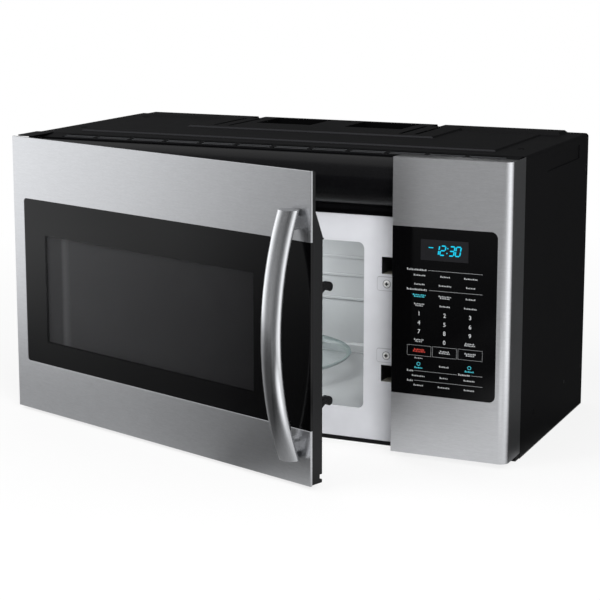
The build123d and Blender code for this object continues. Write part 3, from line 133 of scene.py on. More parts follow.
class OvenSizes(bpy.types.PropertyGroup):
    """Sizes of the pieces that are made here"""

    handle_width: length_of("Handle width", "Width of the handle bar across the door", 0.030)
    handle_depth: length_of("Handle depth", "Thickness of the handle bar", 0.022)
    handle_radius: length_of("Handle bow", "Radius of the handle's bow", 0.41633)
    handle_reach: length_of("Handle reach", "Door face to the bar's middle at its furthest", 0.0455)
    grain: length_of("Grain", "Spacing of the brushed steel's fine grain", 0.0007)
    screen_pitch: length_of("Screen pitch", "Spacing of the window screen's holes", 0.0021)
    screen_hole: length_of("Screen hole", "Width of one hole of the window screen", 0.0014)
    digit_height: length_of("Key digits", "Height of a digit on the keypad", 0.0058)
    clock_height: length_of("Clock digits", "Height of a digit of the clock", 0.0125)


class OvenStudio(bpy.types.PropertyGroup):
    """Lights and floor"""

    floor: colour_of("Floor", "Colour of the floor", (0.86, 0.86, 0.86))
    fill: bpy.props.FloatProperty(
        name="Fill",
        description="Strength of the even light from all round",
        default=0.55,
        min=0.0,
        max=4.0,
        subtype="FACTOR",
    )
    key: power_of("Key light", "Power of the large soft lamp", 44.0)
    side: power_of("Side light", "Power of the lamp at the right", 38.0)
    inside: power_of("Oven light", "Power of the light in the oven", 1.5)


# Node trees


class Socket:
    """An output of a node. Sums written on it add Math nodes."""

    def __init__(self, nodes, end):
        self.nodes, self.end = nodes, end

    def sum(self, operation, *values):
        return self.nodes.node("ShaderNodeMath", {"operation": operation}, dict(enumerate(values)))

    def __add__(self, other):
        return self.sum("ADD", self, other)

    __radd__ = __add__

    def __sub__(self, other):
        return self.sum("SUBTRACT", self, other)

    def __rsub__(self, other):
        return self.sum("SUBTRACT", other, self)

    def __mul__(self, other):
        return self.sum("MULTIPLY", self, other)

    __rmul__ = __mul__

    def __truediv__(self, other):
        return self.sum("DIVIDE", self, other)

    def __rtruediv__(self, other):
        return self.sum("DIVIDE", other, self)

    def __gt__(self, other):
        return self.sum("GREATER_THAN", self, other)

    def __lt__(self, other):
        return self.sum("LESS_THAN", self, other)

    def __and__(self, other):
        return self.sum("MINIMUM", self, other)

    __rand__ = __and__

    def __or__(self, other):
        return self.sum("MAXIMUM", self, other)

    __ror__ = __or__

    def __mod__(self, other):
        return self.sum("FLOORED_MODULO", self, other)

    def __abs__(self):
        return self.sum("ABSOLUTE", self)

    def of(self, operation):
        """a function of this value alone, such as a root"""
        return self.sum(operation, self)

    def waves(self):
        """from 0 to 1 and back, once every two pi"""
        return (self.of("SINE") + 1.0) * 0.5


class Nodes:
    """A node tree with one method that adds any node"""

    def __init__(self, tree):
        self.tree = tree

    def node(self, kind, settings=None, inputs=None, out=0):
        """adds a node and returns one of its outputs, or nothing where it has none"""
        made = self.tree.nodes.new(kind)
        for key, value in (settings or {}).items():
            setattr(made, key, value)
        for key, value in (inputs or {}).items():
            self.join(made.inputs[key], value)
        return Socket(self, made.outputs[out]) if made.outputs else None

    def join(self, socket, value):
        """links a socket to another node's output, or sets its value"""
        if isinstance(value, Socket):
            self.tree.links.new(value.end, socket)
        elif isinstance(value, tuple) and len(value) == 3 and socket.type == "RGBA":
            socket.default_value = (*value, 1)
        else:
            socket.default_value = value


def cleared_nodes(owner):
    """the emptied node tree of a material or world"""
    owner.use_nodes = True
    owner.node_tree.nodes.clear()
    return owner.node_tree


class Finish(Nodes):
    """A procedural material on Object coordinates; on the door they start and turn at the hinge"""

    def __init__(self, name, on_door=False, **constants):
        self.material = bpy.data.materials.new(name)
        super().__init__(cleared_nodes(self.material))
        surface = self.node("ShaderNodeBsdfPrincipled")
        self.shader = surface.end.node
        self.node("ShaderNodeOutputMaterial", None, {0: surface})
        for key, value in constants.items():
            self.feed(key.replace("_", " "), value)
        self.where = self.node("ShaderNodeTexCoord", out="Object")
        if on_door:
            self.where = self.node(
                "ShaderNodeMapping",
                {"vector_type": "TEXTURE"},
                {"Vector": self.where, "Location": DOOR_PIVOT, "Rotation": (0, 0, -DOOR_AJAR)},
            )
        self.x, self.y, self.z = (
            self.node("ShaderNodeSeparateXYZ", None, {0: self.where}, axis) for axis in range(3)
        )

    def feed(self, name, value):
        self.join(self.shader.inputs[name], value)
        return self

    def scaled(self, by):
        return self.node(
            "ShaderNodeVectorMath", {"operation": "MULTIPLY"}, {0: self.where, 1: by}
        )

    def noise(self, scale, stretch=(1, 1, 1), detail=3.0, rough=0.5):
        """cloudy noise from 0 to 1; scale is in turns for each metre"""
        by = tuple(scale * s for s in stretch)
        return self.node(
            "ShaderNodeTexNoise",
            {"noise_dimensions": "3D"},
            {"Vector": self.scaled(by), "Scale": 1.0, "Detail": detail, "Roughness": rough},
        )

    def cells(self, scale, stretch=(1, 1, 1), out="Distance", randomness=1.0):
        """cells about one point each; scale is in cells for each metre"""
        by = tuple(scale * s for s in stretch)
        return self.node(
            "ShaderNodeTexVoronoi",
            None,
            {"Vector": self.scaled(by), "Scale": 1.0, "Randomness": randomness},
            out,
        )

    def mix(self, share, a, b):
        """one colour over another"""
        return self.node("ShaderNodeMix", {"data_type": "RGBA"}, {0: share, 6: a, 7: b}, 2)

    def paint(self, share, a, b):
        """gives the surface one colour over another"""
        return self.feed("Base Color", self.mix(share, a, b))

    def span(self, value, low, high, to_low=0.0, to_high=1.0):
        """a value between two limits, carried to two others"""
        return self.node(
            "ShaderNodeMapRange",
            {"clamp": True},
            {0: value, 1: low, 2: high, 3: to_low, 4: to_high},
        )

    def within(self, value, low, high, edge=0.0002):
        """1 between two limits and 0 outside them"""
        return self.span(value, low - edge, low + edge) * self.span(value, high + edge, high - edge)

    def over(self, share, colour):
        """paints a colour over what is already there, by a share from 0 to 1"""
        under = Socket(self, self.shader.inputs["Base Color"].links[0].from_socket)
        return self.feed("Base Color", self.mix(share, under, colour))

    def distance(self, a, b):
        """length of a step of a one way and b the other"""
        return (a * a + b * b).of("SQRT")

    def attribute(self, name):
        """a value that the mesh carries"""
        return self.node("ShaderNodeAttribute", {"attribute_name": name}, out="Fac")

    def emboss(self, height, depth, strength):
        """a bump of that depth in metres"""
        return self.feed(
            "Normal",
            self.node(
                "ShaderNodeBump", None, {"Strength": strength, "Distance": depth, "Height": height}
            ),
        )


def brushed(name, colour, grain, on_door=False, upright=False, rough=0.27):
    """brushed steel: short fine grain over a faint mottle, with the blur across the grain"""
    turn = 0.0 if upright else 0.25
    f = Finish(name, on_door, Metallic=1.0, Anisotropic=0.6, Anisotropic_Rotation=turn)
    fine, long = 1.0 / grain, 0.12 / grain
    run = (fine, fine, long) if upright else (long, long, fine)
    streak = f.noise(1.0, run, 2.0, 0.6)
    mottle = f.noise(1.0, tuple(v * 0.25 for v in run), 2.0, 0.5)
    handled = f.noise(7.0, detail=2.0)
    tone = f.span(streak, 0.3, 0.7) * 0.6 + f.span(mottle, 0.3, 0.7) * 0.4
    f.paint(tone, shaded(colour, 0.93), shaded(colour, 1.07))
    f.feed("Roughness", tone * 0.05 + f.span(handled, 0.3, 0.8, rough, rough + 0.04))
    return f.emboss(streak, 0.000008, 0.15)


def coated(name, colour, rough, orange_peel=0.00002, specular=0.5, **constants):
    """powder coat or enamel: fine orange peel, slight change of tone and sheen"""
    f = Finish(name, Specular_IOR_Level=specular, **constants)
    cloud, peel, speck = f.noise(14.0), f.noise(900.0, detail=2.0), f.noise(2600.0, detail=1.0)
    lift = f.span(cloud, 0.3, 0.7)
    f.paint(lift, shaded(colour, 0.92), shaded(colour, 1.06))
    f.feed("Roughness", f.span(speck, 0.3, 0.7, rough - 0.03, rough + 0.03) + lift * 0.03)
    return f.emboss(peel, orange_peel, 0.5)


def moulded(name, colour, rough=0.48, on_door=False, specular=0.5):
    """moulded plastic: fine spark texture and faint flow marks"""
    f = Finish(name, on_door, Specular_IOR_Level=specular)
    spark, flow = f.noise(1800.0, detail=2.0), f.noise(11.0, (1, 1, 3), 4.0, 0.6)
    f.paint(f.span(flow, 0.35, 0.65), shaded(colour, 0.9), shaded(colour, 1.12))
    f.feed("Roughness", f.span(spark, 0.3, 0.7, rough - 0.06, rough + 0.06))
    return f.emboss(spark, 0.00003, 0.4)


def plated(name, colour, rough, spangle=0.0, on_door=False):
    """plated or galvanised sheet; spangle is the number of crystals for each metre"""
    f = Finish(name, on_door, Metallic=1.0)
    cloud, scratch = f.noise(25.0), f.noise(500.0, (1, 1, 0.08), 2.0)
    tone = f.span(cloud, 0.3, 0.7)
    if spangle:
        crystal = f.node("ShaderNodeSeparateColor", None, {0: f.cells(spangle, out="Color")})
        tone = tone * 0.35 + crystal * 0.65
    f.paint(tone, shaded(colour, 0.78), shaded(colour, 1.12))
    f.feed("Roughness", tone * 0.12 + f.span(scratch, 0.3, 0.7, rough - 0.06, rough + 0.06))
    return f.emboss(scratch, 0.00001, 0.3)


def ink(name, colour, low=0.8, high=1.0, rough=0.45):
    """printed ink with a fine mottle between two shares of its colour"""
    f = Finish(name, Specular_IOR_Level=0.3, Roughness=rough)
    return f.paint(f.noise(300.0), shaded(colour, low), shaded(colour, high))


def dress(finish, *nodes):
    """gives CAD nodes a finish"""
    for name in nodes:
        slots = NODES[name].data.materials
        slots.clear()
        slots.append(finish.material)


# Geometry Nodes


def tree_of(name, inputs):
    """an empty geometry tree with named inputs, and its builder"""
    group = bpy.data.node_groups.new(name, "GeometryNodeTree")
    group.interface.new_socket("Geometry", in_out="INPUT", socket_type="NodeSocketGeometry")
    for label, kind in inputs.items():
        group.interface.new_socket(label, in_out="INPUT", socket_type=kind)
    group.interface.new_socket("Geometry", in_out="OUTPUT", socket_type="NodeSocketGeometry")
    nodes = Nodes(group)
    entry = nodes.node("NodeGroupInput").end.node
    return nodes, {end.name: Socket(nodes, end) for end in entry.outputs if end.name}


def close_tree(nodes, shape, material):
    """the last steps of every tree: real meshes, a finish, and the output"""
    real = nodes.node("GeometryNodeRealizeInstances", None, {0: shape})
    finished = nodes.node("GeometryNodeSetMaterial", None, {"Geometry": real, "Material": material})
    nodes.node("NodeGroupOutput", None, {0: finished})
    return nodes.tree


def copies_tree():
    """copies of one shape at the points of a mesh, each with its own turn and stretch"""
    nodes, ends = tree_of(
        "set_out_copies",
        {"Shape": "NodeSocketObject", "Size": "NodeSocketFloat", "Finish": "NodeSocketMaterial"},
    )
    shape = nodes.node("GeometryNodeObjectInfo", None, {"Object": ends["Shape"]}, "Geometry")
    turn, stretch = (
        nodes.node(
            "GeometryNodeInputNamedAttribute", {"data_type": "FLOAT_VECTOR"}, {"Name": label}
        )
        for label in ("turn", "stretch")
    )
    size = nodes.node(
        "ShaderNodeVectorMath", {"operation": "SCALE"}, {0: stretch, "Scale": ends["Size"]}
    )
    placed = nodes.node(
        "GeometryNodeInstanceOnPoints",
        None,
        {"Points": ends["Geometry"], "Instance": shape, "Rotation": turn, "Scale": size},
    )
    return close_tree(nodes, placed, ends["Finish"])


def sweep(nodes, path, section):
    """a section carried along a path, with its ends closed"""
    return nodes.node(
        "GeometryNodeCurveToMesh",
        None,
        {"Curve": path, "Profile Curve": section, "Fill Caps": True},
    )


def bowed_bar_tree():
    """an oval bar swept along a shallow arc, with both ends cut level"""
    nodes, ends = tree_of(
        "bowed_bar",
        {
            "Bow radius": "NodeSocketFloat",
            "Half height": "NodeSocketFloat",
            "Width": "NodeSocketFloat",
            "Thickness": "NodeSocketFloat",
            "Finish": "NodeSocketMaterial",
        },
    )
    radius, half = ends["Bow radius"], ends["Half height"]
    lean = (half / radius).of("ARCSINE")
    # The arc runs on a little past both ends, which are cut level below
    reach = lean + 0.03
    arc = nodes.node(
        "GeometryNodeCurveArc",
        {"mode": "RADIUS"},
        {
            "Resolution": 97,
            "Radius": radius,
            "Start Angle": 0.0 - reach,
            "Sweep Angle": reach * 2,
        },
    )
    upright = nodes.node("GeometryNodeSetCurveNormal", {"mode": "Z_UP"}, {"Curve": arc})
    oval = nodes.node(
        "GeometryNodeCurvePrimitiveCircle", {"mode": "RADIUS"}, {"Resolution": 64, "Radius": 1.0}
    )
    size = nodes.node(
        "ShaderNodeCombineXYZ", None, {0: ends["Thickness"] / 2, 1: ends["Width"] / 2, 2: 1.0}
    )
    section = nodes.node("GeometryNodeTransform", None, {"Geometry": oval, "Scale": size})
    swept = sweep(nodes, upright, section)
    place = nodes.node("GeometryNodeInputPosition")
    x, y, z = (nodes.node("ShaderNodeSeparateXYZ", None, {0: place}, axis) for axis in range(3))
    over = (abs(y) - half) | 0.0
    slide = over * lean.of("TANGENT")
    level = (y & half) | (0.0 - half)
    cut = nodes.node("ShaderNodeCombineXYZ", None, {0: x + slide, 1: level, 2: z})
    ended = nodes.node("GeometryNodeSetPosition", None, {"Geometry": swept, "Position": cut})
    return close_tree(nodes, ended, ends["Finish"])


def coil_tree():
    """round wire wound into an upright coil"""
    nodes, ends = tree_of(
        "wound_coil",
        {
            "Turns": "NodeSocketFloat",
            "Radius": "NodeSocketFloat",
            "Height": "NodeSocketFloat",
            "Wire": "NodeSocketFloat",
            "Finish": "NodeSocketMaterial",
        },
    )
    winding = nodes.node(
        "GeometryNodeCurveSpiral",
        None,
        {
            "Resolution": 32,
            "Rotations": ends["Turns"],
            "Start Radius": ends["Radius"],
            "End Radius": ends["Radius"],
            "Height": ends["Height"],
        },
    )
    section = nodes.node(
        "GeometryNodeCurvePrimitiveCircle",
        {"mode": "RADIUS"},
        {"Resolution": 12, "Radius": ends["Wire"] / 2},
    )
    return close_tree(nodes, sweep(nodes, winding, section), ends["Finish"])


def grow(name, tree, values, seed=None):
    """runs a tree on a seed mesh and returns the result as a plain mesh object at the origin"""
    holder = bpy.data.objects.new(name, seed or bpy.data.meshes.new(name))
    modifier = holder.modifiers.new("grow", "NODES")
    modifier.node_group = tree
    for item in tree.interface.items_tree:
        if item.in_out == "INPUT" and item.name in values:
            modifier[item.identifier] = values[item.name]
    bpy.context.scene.collection.objects.link(holder)
    graph = bpy.context.evaluated_depsgraph_get()
    result = bpy.data.meshes.new_from_object(holder.evaluated_get(graph))
    holder.modifiers.remove(modifier)
    holder.data = result
    result.name = name
    if not result.polygons:
        raise RuntimeError(f"{name} came out empty")
    return holder


SAME_POINT = 1e-6  # points nearer than this are merged


def tidy(piece, way=FIXED_WAY, angle=35.0):
    """merges doubles, turns faces outwards, places the mesh and smooths all but the sharp edges"""
    work = bmesh.new()
    work.from_mesh(piece.data)
    bmesh.ops.remove_doubles(work, verts=work.verts, dist=SAME_POINT)
    bmesh.ops.dissolve_degenerate(work, edges=work.edges, dist=SAME_POINT)
    bmesh.ops.transform(work, matrix=way, verts=work.verts)
    bmesh.ops.recalc_face_normals(work, faces=work.faces)
    work.to_mesh(piece.data)
    work.free()
    piece.data.shade_smooth()
    piece.data.set_sharp_from_angle(angle=math.radians(angle))
    return piece


def seed_points(name, rows):
    """a mesh of loose points with a turn and a stretch for each; a row is (place, turn, stretch)"""
    mesh = bpy.data.meshes.new(name)
    mesh.from_pydata([r[0] for r in rows], [], [])
    for label, column in (("turn", 1), ("stretch", 2)):
        layer = mesh.attributes.new(label, "FLOAT_VECTOR", "POINT")
        layer.data.foreach_set("vector", [v for r in rows for v in r[column]])
    return mesh


def shape_from(name, work):
    """a mesh object, not yet in the scene"""
    mesh = bpy.data.meshes.new(name)
    work.to_mesh(mesh)
    work.free()
    return bpy.data.objects.new(name, mesh)


def set_out(name, shape, rows, finish, way=FIXED_WAY, angle=35.0):
    """copies a shape to each row's place and lets the result ride on the oven's body"""
    piece = grow(
        name,
        copies_tree(),
        {"Shape": shape, "Size": 1.0, "Finish": finish.material},
        seed_points(name + "_points", rows),
    )
    tidy(piece, way, angle)
    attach(piece, "oven")
    return piece


def block_shape():
    """a unit block"""
    work = bmesh.new()
    bmesh.ops.create_cube(work, size=1.0)
    return shape_from("block_shape", work)


def close_ring(work, one, other):
    """faces between two closed loops of as many points"""
    for k in range(len(one)):
        n = (k + 1) % len(one)
        work.faces.new((one[k], one[n], other[n], other[k]))


HEAD_SEGMENTS = 48
HEAD_RINGS = (
    *(0.04, 0.09, 0.14, 0.2, 0.27, 0.34, 0.42, 0.5),
    *(0.58, 0.66, 0.75, 0.83, 0.9, 0.95, 0.985, 1.0),
)


def head_shape(dome, recess, arm, half_arm, depth):
    """a domed round head of radius 1 that faces -Y, with a pressed cross and a foot behind"""
    work = bmesh.new()
    pressed = work.verts.layers.float.new("pressed")
    loops = []
    for radius in HEAD_RINGS:
        rise = dome * (1 - 0.55 * radius**2 - 0.45 * radius**8)
        loop = []
        for step in range(HEAD_SEGMENTS):
            a = 2 * math.pi * step / HEAD_SEGMENTS
            x, z = radius * math.cos(a), radius * math.sin(a)
            u, v = abs(x), abs(z)
            inside = (u < arm and v < half_arm) or (v < arm and u < half_arm)
            vert = work.verts.new((x, recess * inside - rise, z))
            vert[pressed] = float(inside)
            loop.append(vert)
        loops.append(loop)
    for inner, outer in zip(loops, loops[1:]):
        close_ring(work, inner, outer)
    work.faces.new(loops[0])
    rim = [work.verts.new((vert.co.x, depth, vert.co.z)) for vert in loops[-1]]
    close_ring(work, loops[-1], rim)
    work.faces.new(rim[::-1])
    bmesh.ops.recalc_face_normals(work, faces=work.faces)
    return shape_from("head_shape", work)


class OvenOperator(bpy.types.Operator):
    """Shared settings of the oven's operators"""

    bl_options = {"REGISTER", "UNDO"}

    @property
    def looks(self):
        return bpy.context.scene.oven_finishes

    @property
    def sizes(self):
        return bpy.context.scene.oven_sizes


# Front, back and half width of the painted highlights along the edges of the two steps stamped into
# the case's top
TOP_RIDGE_HIGHLIGHTS = ((-0.0905, -0.0862, 0.3245), (0.0108, 0.0152, 0.1995))
RIDGE_LEVEL = 0.4131
GALVANISED = ((0.60, 0.61, 0.62), 0.36, 160.0)  # colour, roughness and crystals for each metre
# The louvre's slots, and the y and z of the three vanes in each
LOUVRE_SLOTS, LOUVRE_FIRST, LOUVRE_PITCH = 12, -0.2963, 0.057
VANE_ROWS = ((-0.1466, 0.4088), (-0.1405, 0.4096), (-0.1345, 0.4104))
VANE_TURN, VANE_SIZE = (math.radians(-14), 0, 0), (0.0516, 0.0060, 0.0010)


class OBJECT_OT_oven_case(OvenOperator):
    """Powder coat on the folded case, louvre strip and base, and zinc on the back"""

    bl_idname = "object.oven_case"
    bl_label = "Case"

    def execute(self, context):
        colour = self.looks.case
        coat = coated("case_powder_coat", colour, 0.34, specular=0.06)
        # Painted highlight: lighter bands along the edges of the steps stamped into the top
        ridge_highlights = 0.0
        for fore, back, half in TOP_RIDGE_HIGHLIGHTS:
            ridge_highlights = ridge_highlights | coat.within(coat.y, fore, back) * coat.within(abs(coat.x), -1.0, half)
        coat.over(ridge_highlights * (coat.z > RIDGE_LEVEL) * 0.8, shaded(colour, 5.0))
        dress(coat, "outer_case", "vent_louvre")
        under = coated("base_powder_coat", shaded(colour, 1.6), 0.5, 0.00003, specular=0.1)
        dress(under, "base_plate")
        dress(plated("galvanised_sheet", *GALVANISED), "rear_panel", "component_shelf")
        dress(moulded("gland_plastic", self.looks.plastic), "cord_gland")
        cap = tidy(hinge_cap(coat))
        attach(cap, "oven")
        vane = moulded("vane_plastic", rgb(58, 59, 61), 0.3)
        rows = [
            ((LOUVRE_FIRST + slot * LOUVRE_PITCH, y, z), VANE_TURN, VANE_SIZE)
            for slot in range(LOUVRE_SLOTS)
            for y, z in VANE_ROWS
        ]
        set_out("louvre_vanes", block_shape(), rows, vane)
        return {"FINISHED"}


def hinge_cap(finish):
    """the round-cornered sheet over the upper hinge, with its lug down the side of the vent"""
    left, right, fore, back = -0.3790, -0.3500, -0.1862, -0.1272
    bottom, top = 0.4126, 0.4136
    corner, corner_steps = 0.011, 12
    work = bmesh.new()
    edge = [(right, fore), (right, back), (left, back)]
    for step in range(corner_steps + 1):
        a = math.radians(180 + 90 * step / corner_steps)
        edge.append((left + corner + corner * math.cos(a), fore + corner + corner * math.sin(a)))
    lower, upper = ([work.verts.new((x, y, z)) for x, y in edge] for z in (bottom, top))
    work.faces.new(lower)
    work.faces.new(upper[::-1])
    close_ring(work, lower, upper)
    lug_low, lug_high = Vector((left, -0.1500, 0.4045)), Vector((-0.3752, back, bottom))
    lug = Matrix.Translation((lug_low + lug_high) / 2) @ Matrix.Diagonal((*(lug_high - lug_low), 1))
    bmesh.ops.create_cube(work, size=1.0, matrix=lug)
    cap = shape_from("hinge_cap", work)
    bpy.context.scene.collection.objects.link(cap)
    cap.data.materials.append(finish.material)
    return cap


class OBJECT_OT_oven_cavity(OvenOperator):
    """Smooth enamel inside the oven, and the waveguide's mica cover"""

    bl_idname = "object.oven_cavity"
    bl_label = "Cavity"

    def execute(self, context):
        colour = self.looks.cavity
        enamel = coated("cavity_enamel", colour, 0.3, Coat_Weight=0.25)
        dress(enamel, "cavity_roof", "cavity_left_wall", "cavity_right_wall", "cavity_rear_wall")
        # Painted shade: the floor's enamel is made darker than the walls', for the shade low in the
        # cavity
        shaded_floor_enamel = coated("cavity_floor_enamel", shaded(colour, 0.78), 0.34, Coat_Weight=0.25)
        dress(shaded_floor_enamel, "cavity_floor")
        mica = Finish("mica_sheet", Specular_IOR_Level=0.5)
        flake = mica.noise(120.0, (1, 1, 0.6), 5.0, 0.7)
        mica.paint(mica.span(flake, 0.35, 0.65), rgb(196, 186, 158), rgb(222, 214, 192))
        mica.feed("Roughness", mica.span(flake, 0.3, 0.7, 0.35, 0.6)).emboss(flake, 0.0001, 0.4)
        dress(mica, "waveguide_cover")
        return {"FINISHED"}


# Middles of the two pressed pads beside the latch slots
PAD_X, PAD_HEIGHTS = 0.190, (0.1285, 0.2295)


class OBJECT_OT_oven_front_frame(OvenOperator):
    """Pale enamel on the oven frame, the vent face above it and the hinge brackets"""

    bl_idname = "object.oven_front_frame"
    bl_label = "Front frame"

    def execute(self, context):
        enamel = coated("frame_enamel", self.looks.enamel, 0.38)
        # Painted shade: a grey line round each pad's outline stands for the shadow of its pressed
        # edge, and a grey disc under its screw for the shadow round the screw's seat
        shade = 0.0
        for z in PAD_HEIGHTS:
            across, along = abs(enamel.x - PAD_X), abs(enamel.z - z)
            corner = enamel.distance((across - 0.0110) | 0.0, (along - 0.0065) | 0.0)
            line = enamel.within(corner, 0.0028, 0.0036)
            seat_shadow = enamel.within(enamel.distance(across, along), 0.0, 0.0060)
            shade = shade | line * 0.5 | seat_shadow * 0.75
        dress(enamel.over(shade, rgb(96, 98, 102)), "front_frame")
        dress(moulded("vent_plastic", self.looks.plastic, 0.26, specular=0.2), "vent_band")
        dress(plated("zinc_plate", (0.66, 0.65, 0.60), 0.32), "hinge_upper", "hinge_lower")
        return {"FINISHED"}


ROW_RISE = 0.866  # a row of staggered holes over the one below, in pitches


class OBJECT_OT_oven_door(OvenOperator):
    """Brushed steel, black glass, moulded frame, screen and choke of the door"""

    bl_idname = "object.oven_door"
    bl_label = "Door"

    def execute(self, context):
        steel, grain = self.looks.steel, self.sizes.grain
        dress(brushed("brushed_door_steel", steel, grain, True), "door_skin")
        dress(brushed("brushed_post_steel", steel, grain, True), "handle_posts")
        dress(self.door_glass(), "door_glass")
        dress(self.window_screen(), "window_screen")
        frame_plastic = moulded("door_frame_plastic", self.looks.plastic, 0.34, True, 0.21)
        dress(frame_plastic, "door_frame", "choke_cover")
        dress(plated("choke_sheet", (0.58, 0.59, 0.60), 0.36, 160.0, True), "choke_frame")
        pane = Finish("clear_pane", True, Roughness=0.03, Alpha=0.18)
        dust = pane.noise(60.0, detail=5.0)
        pane.paint(dust, rgb(190, 205, 200), rgb(215, 225, 222))
        pane.feed("Roughness", pane.span(dust, 0.4, 0.8, 0.02, 0.1))
        dress(pane, "inner_window")
        return {"FINISHED"}

    def door_glass(self):
        """black print with a clear part in front of the window"""
        glass = Finish("door_glass", True, Specular_IOR_Level=0.21)
        black = tuple(self.looks.glass)
        # The clear part of the print, measured from the hinge
        across = glass.within(glass.x, 0.0575, 0.4805, 0.0006)
        clear = across * glass.within(glass.z, 0.112, 0.271, 0.0006)
        glass.paint(clear, black, tuple(part * 2.2 + 0.003 for part in black))
        glass.feed("Roughness", glass.span(glass.noise(18.0, detail=4.0), 0.45, 0.8, 0.03, 0.07))
        return glass.feed("Alpha", 1.0 - clear * 0.62)

    def window_screen(self):
        """a sheet with staggered round holes, with painted shade that darkens it to the right and a
        painted highlight near its left edge that stands for a fold
        """
        screen = Finish("perforated_screen", True, Specular_IOR_Level=0.2, Roughness=0.5)
        pitch, hole = self.sizes.screen_pitch, self.sizes.screen_hole
        up = screen.z / (pitch * ROW_RISE)
        across = screen.x / pitch + (up.of("FLOOR") % 2.0) * 0.5
        dx, dz = (across % 1.0) - 0.5, (up % 1.0) - 0.5
        # The rows are nearer together than the holes in them
        far = (dx * dx + dz * dz * 0.75).of("SQRT")
        rim = 0.5 * hole / pitch
        holes = screen.span(far, rim + 0.05, rim - 0.05)
        window = screen.within(screen.x, 0.060, 0.478) * screen.within(screen.z, 0.1145, 0.2685)
        cloud = screen.span(screen.noise(40.0), 0.3, 0.7, -0.05, 0.05)
        # Painted shade: the sheet's tone darkens towards the right, with a random cloud in it
        depth = screen.span(screen.x, 0.060, 0.47) + cloud
        sheet = screen.mix(depth, (0.200, 0.202, 0.212), (0.048, 0.048, 0.051))
        margin = screen.mix(screen.span(screen.x, 0.093, 0.089), sheet, (0.140, 0.141, 0.149))
        # Painted highlight: a pale stripe near the left edge, standing for a fold
        fold_highlight = screen.span(screen.x, 0.087, 0.095) * screen.span(screen.x, 0.108, 0.096)
        screen.paint(fold_highlight, margin, (0.330, 0.333, 0.346))
        return screen.feed("Alpha", 1.0 - holes * window * 0.4)


HANDLE_X = 0.188  # x of the handle's middle while the door is shut


class OBJECT_OT_oven_handle(OvenOperator):
    """The bowed oval handle bar, swept along its arc"""

    bl_idname = "object.oven_handle"
    bl_label = "Handle"

    def execute(self, context):
        s = self.sizes
        steel = brushed("brushed_handle_steel", self.looks.steel, s.grain, True, True, 0.18)
        low, high = HANDLE_LOW.z, HANDLE_HIGH.z
        piece = grow(
            "bowed_handle",
            bowed_bar_tree(),
            {
                "Bow radius": s.handle_radius,
                "Half height": (high - low) / 2,
                "Width": s.handle_width,
                "Thickness": s.handle_depth,
                "Finish": steel.material,
            },
        )
        middle = Vector((HANDLE_X, FRONT - s.handle_reach + s.handle_radius, (low + high) / 2))
        # Turns the flat arc upright, with its bow away from the door
        stand = Matrix(((0, 0, -1, 0), (-1, 0, 0, 0), (0, 1, 0, 0), (0, 0, 0, 1)))
        tidy(piece, DOOR_WAY @ Matrix.Translation(middle) @ stand, 40.0)
        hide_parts("handle_bar")
        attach(piece, "door")
        return {"FINISHED"}


SPRING_WIRE = 0.0010
SPRING_TURNS = 5.0


class OBJECT_OT_oven_latch(OvenOperator):
    """Latch key, its spring, the latch board and the interlock switches"""

    bl_idname = "object.oven_latch"
    bl_label = "Latch"

    def execute(self, context):
        dress(moulded("latch_plastic", self.looks.plastic, 0.26, True, 0.14), "latch_key")
        wire = plated("spring_wire", (0.66, 0.66, 0.64), 0.28, on_door=True)
        dress(wire, "latch_spring")
        low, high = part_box("latch_spring")
        coil = grow(
            "latch_coil",
            coil_tree(),
            {
                "Turns": SPRING_TURNS,
                "Radius": (high.x - low.x - SPRING_WIRE) / 2,
                "Height": high.z - low.z - SPRING_WIRE,
                "Wire": SPRING_WIRE,
                "Finish": wire.material,
            },
        )
        middle = (low + high) / 2
        tidy(coil, Matrix.Translation((middle.x, middle.y, low.z + SPRING_WIRE / 2)))
        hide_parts("latch_spring")
        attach(coil, "door")
        keep = 1 - LATCH_TRAVEL / (high.z - low.z)
        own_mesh(coil)
        dress(moulded("pale_plastic", rgb(214, 210, 198), 0.45), "latch_board")
        dress(moulded("switch_plastic", rgb(60, 60, 64), 0.4), "interlock_switches")
        return {"FINISHED"}


# The printing stands a little proud of the glass
PRINT_Y, PRINT_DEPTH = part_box("keypad_glass")[0].y - 0.00004, 0.00016
LEFT, MIDDLE, RIGHT = KEY_COLUMNS = (0.2545, 0.2905, 0.3262)
# Each row of this list, and of those below, is x, z, width and height of one legend
LEGENDS = [
    (0.2504, 0.2624, 0.0280, 0.0014),
    (0.2508, 0.2355, 0.0290, 0.0014),
    (0.2427, 0.1236, 0.0096, 0.0013),
    (0.3190, 0.1246, 0.0166, 0.0013),
    (0.2424, 0.1100, 0.0090, 0.0013),
    (MIDDLE, 0.2284, 0.018, 0.0010),
    (MIDDLE, 0.2260, 0.014, 0.0010),
    (RIGHT, 0.2275, 0.014, 0.0011),
    (LEFT, 0.2160, 0.015, 0.0010),
    (LEFT, 0.2136, 0.011, 0.0010),
    (MIDDLE, 0.2150, 0.015, 0.0011),
    (RIGHT, 0.2150, 0.018, 0.0011),
    (LEFT, 0.1671, 0.014, 0.0010),
    (LEFT, 0.1647, 0.010, 0.0010),
    (RIGHT, 0.1676, 0.013, 0.0010),
    (RIGHT, 0.1652, 0.015, 0.0010),
    (LEFT, 0.1418, 0.012, 0.0009),
    (MIDDLE, 0.1327, 0.014, 0.0011),
    (0.2911, 0.1537, 0.013, 0.0011),
    (0.2911, 0.1513, 0.016, 0.0010),
    (0.3270, 0.1539, 0.016, 0.0011),
    (0.3270, 0.1515, 0.012, 0.0010),
]
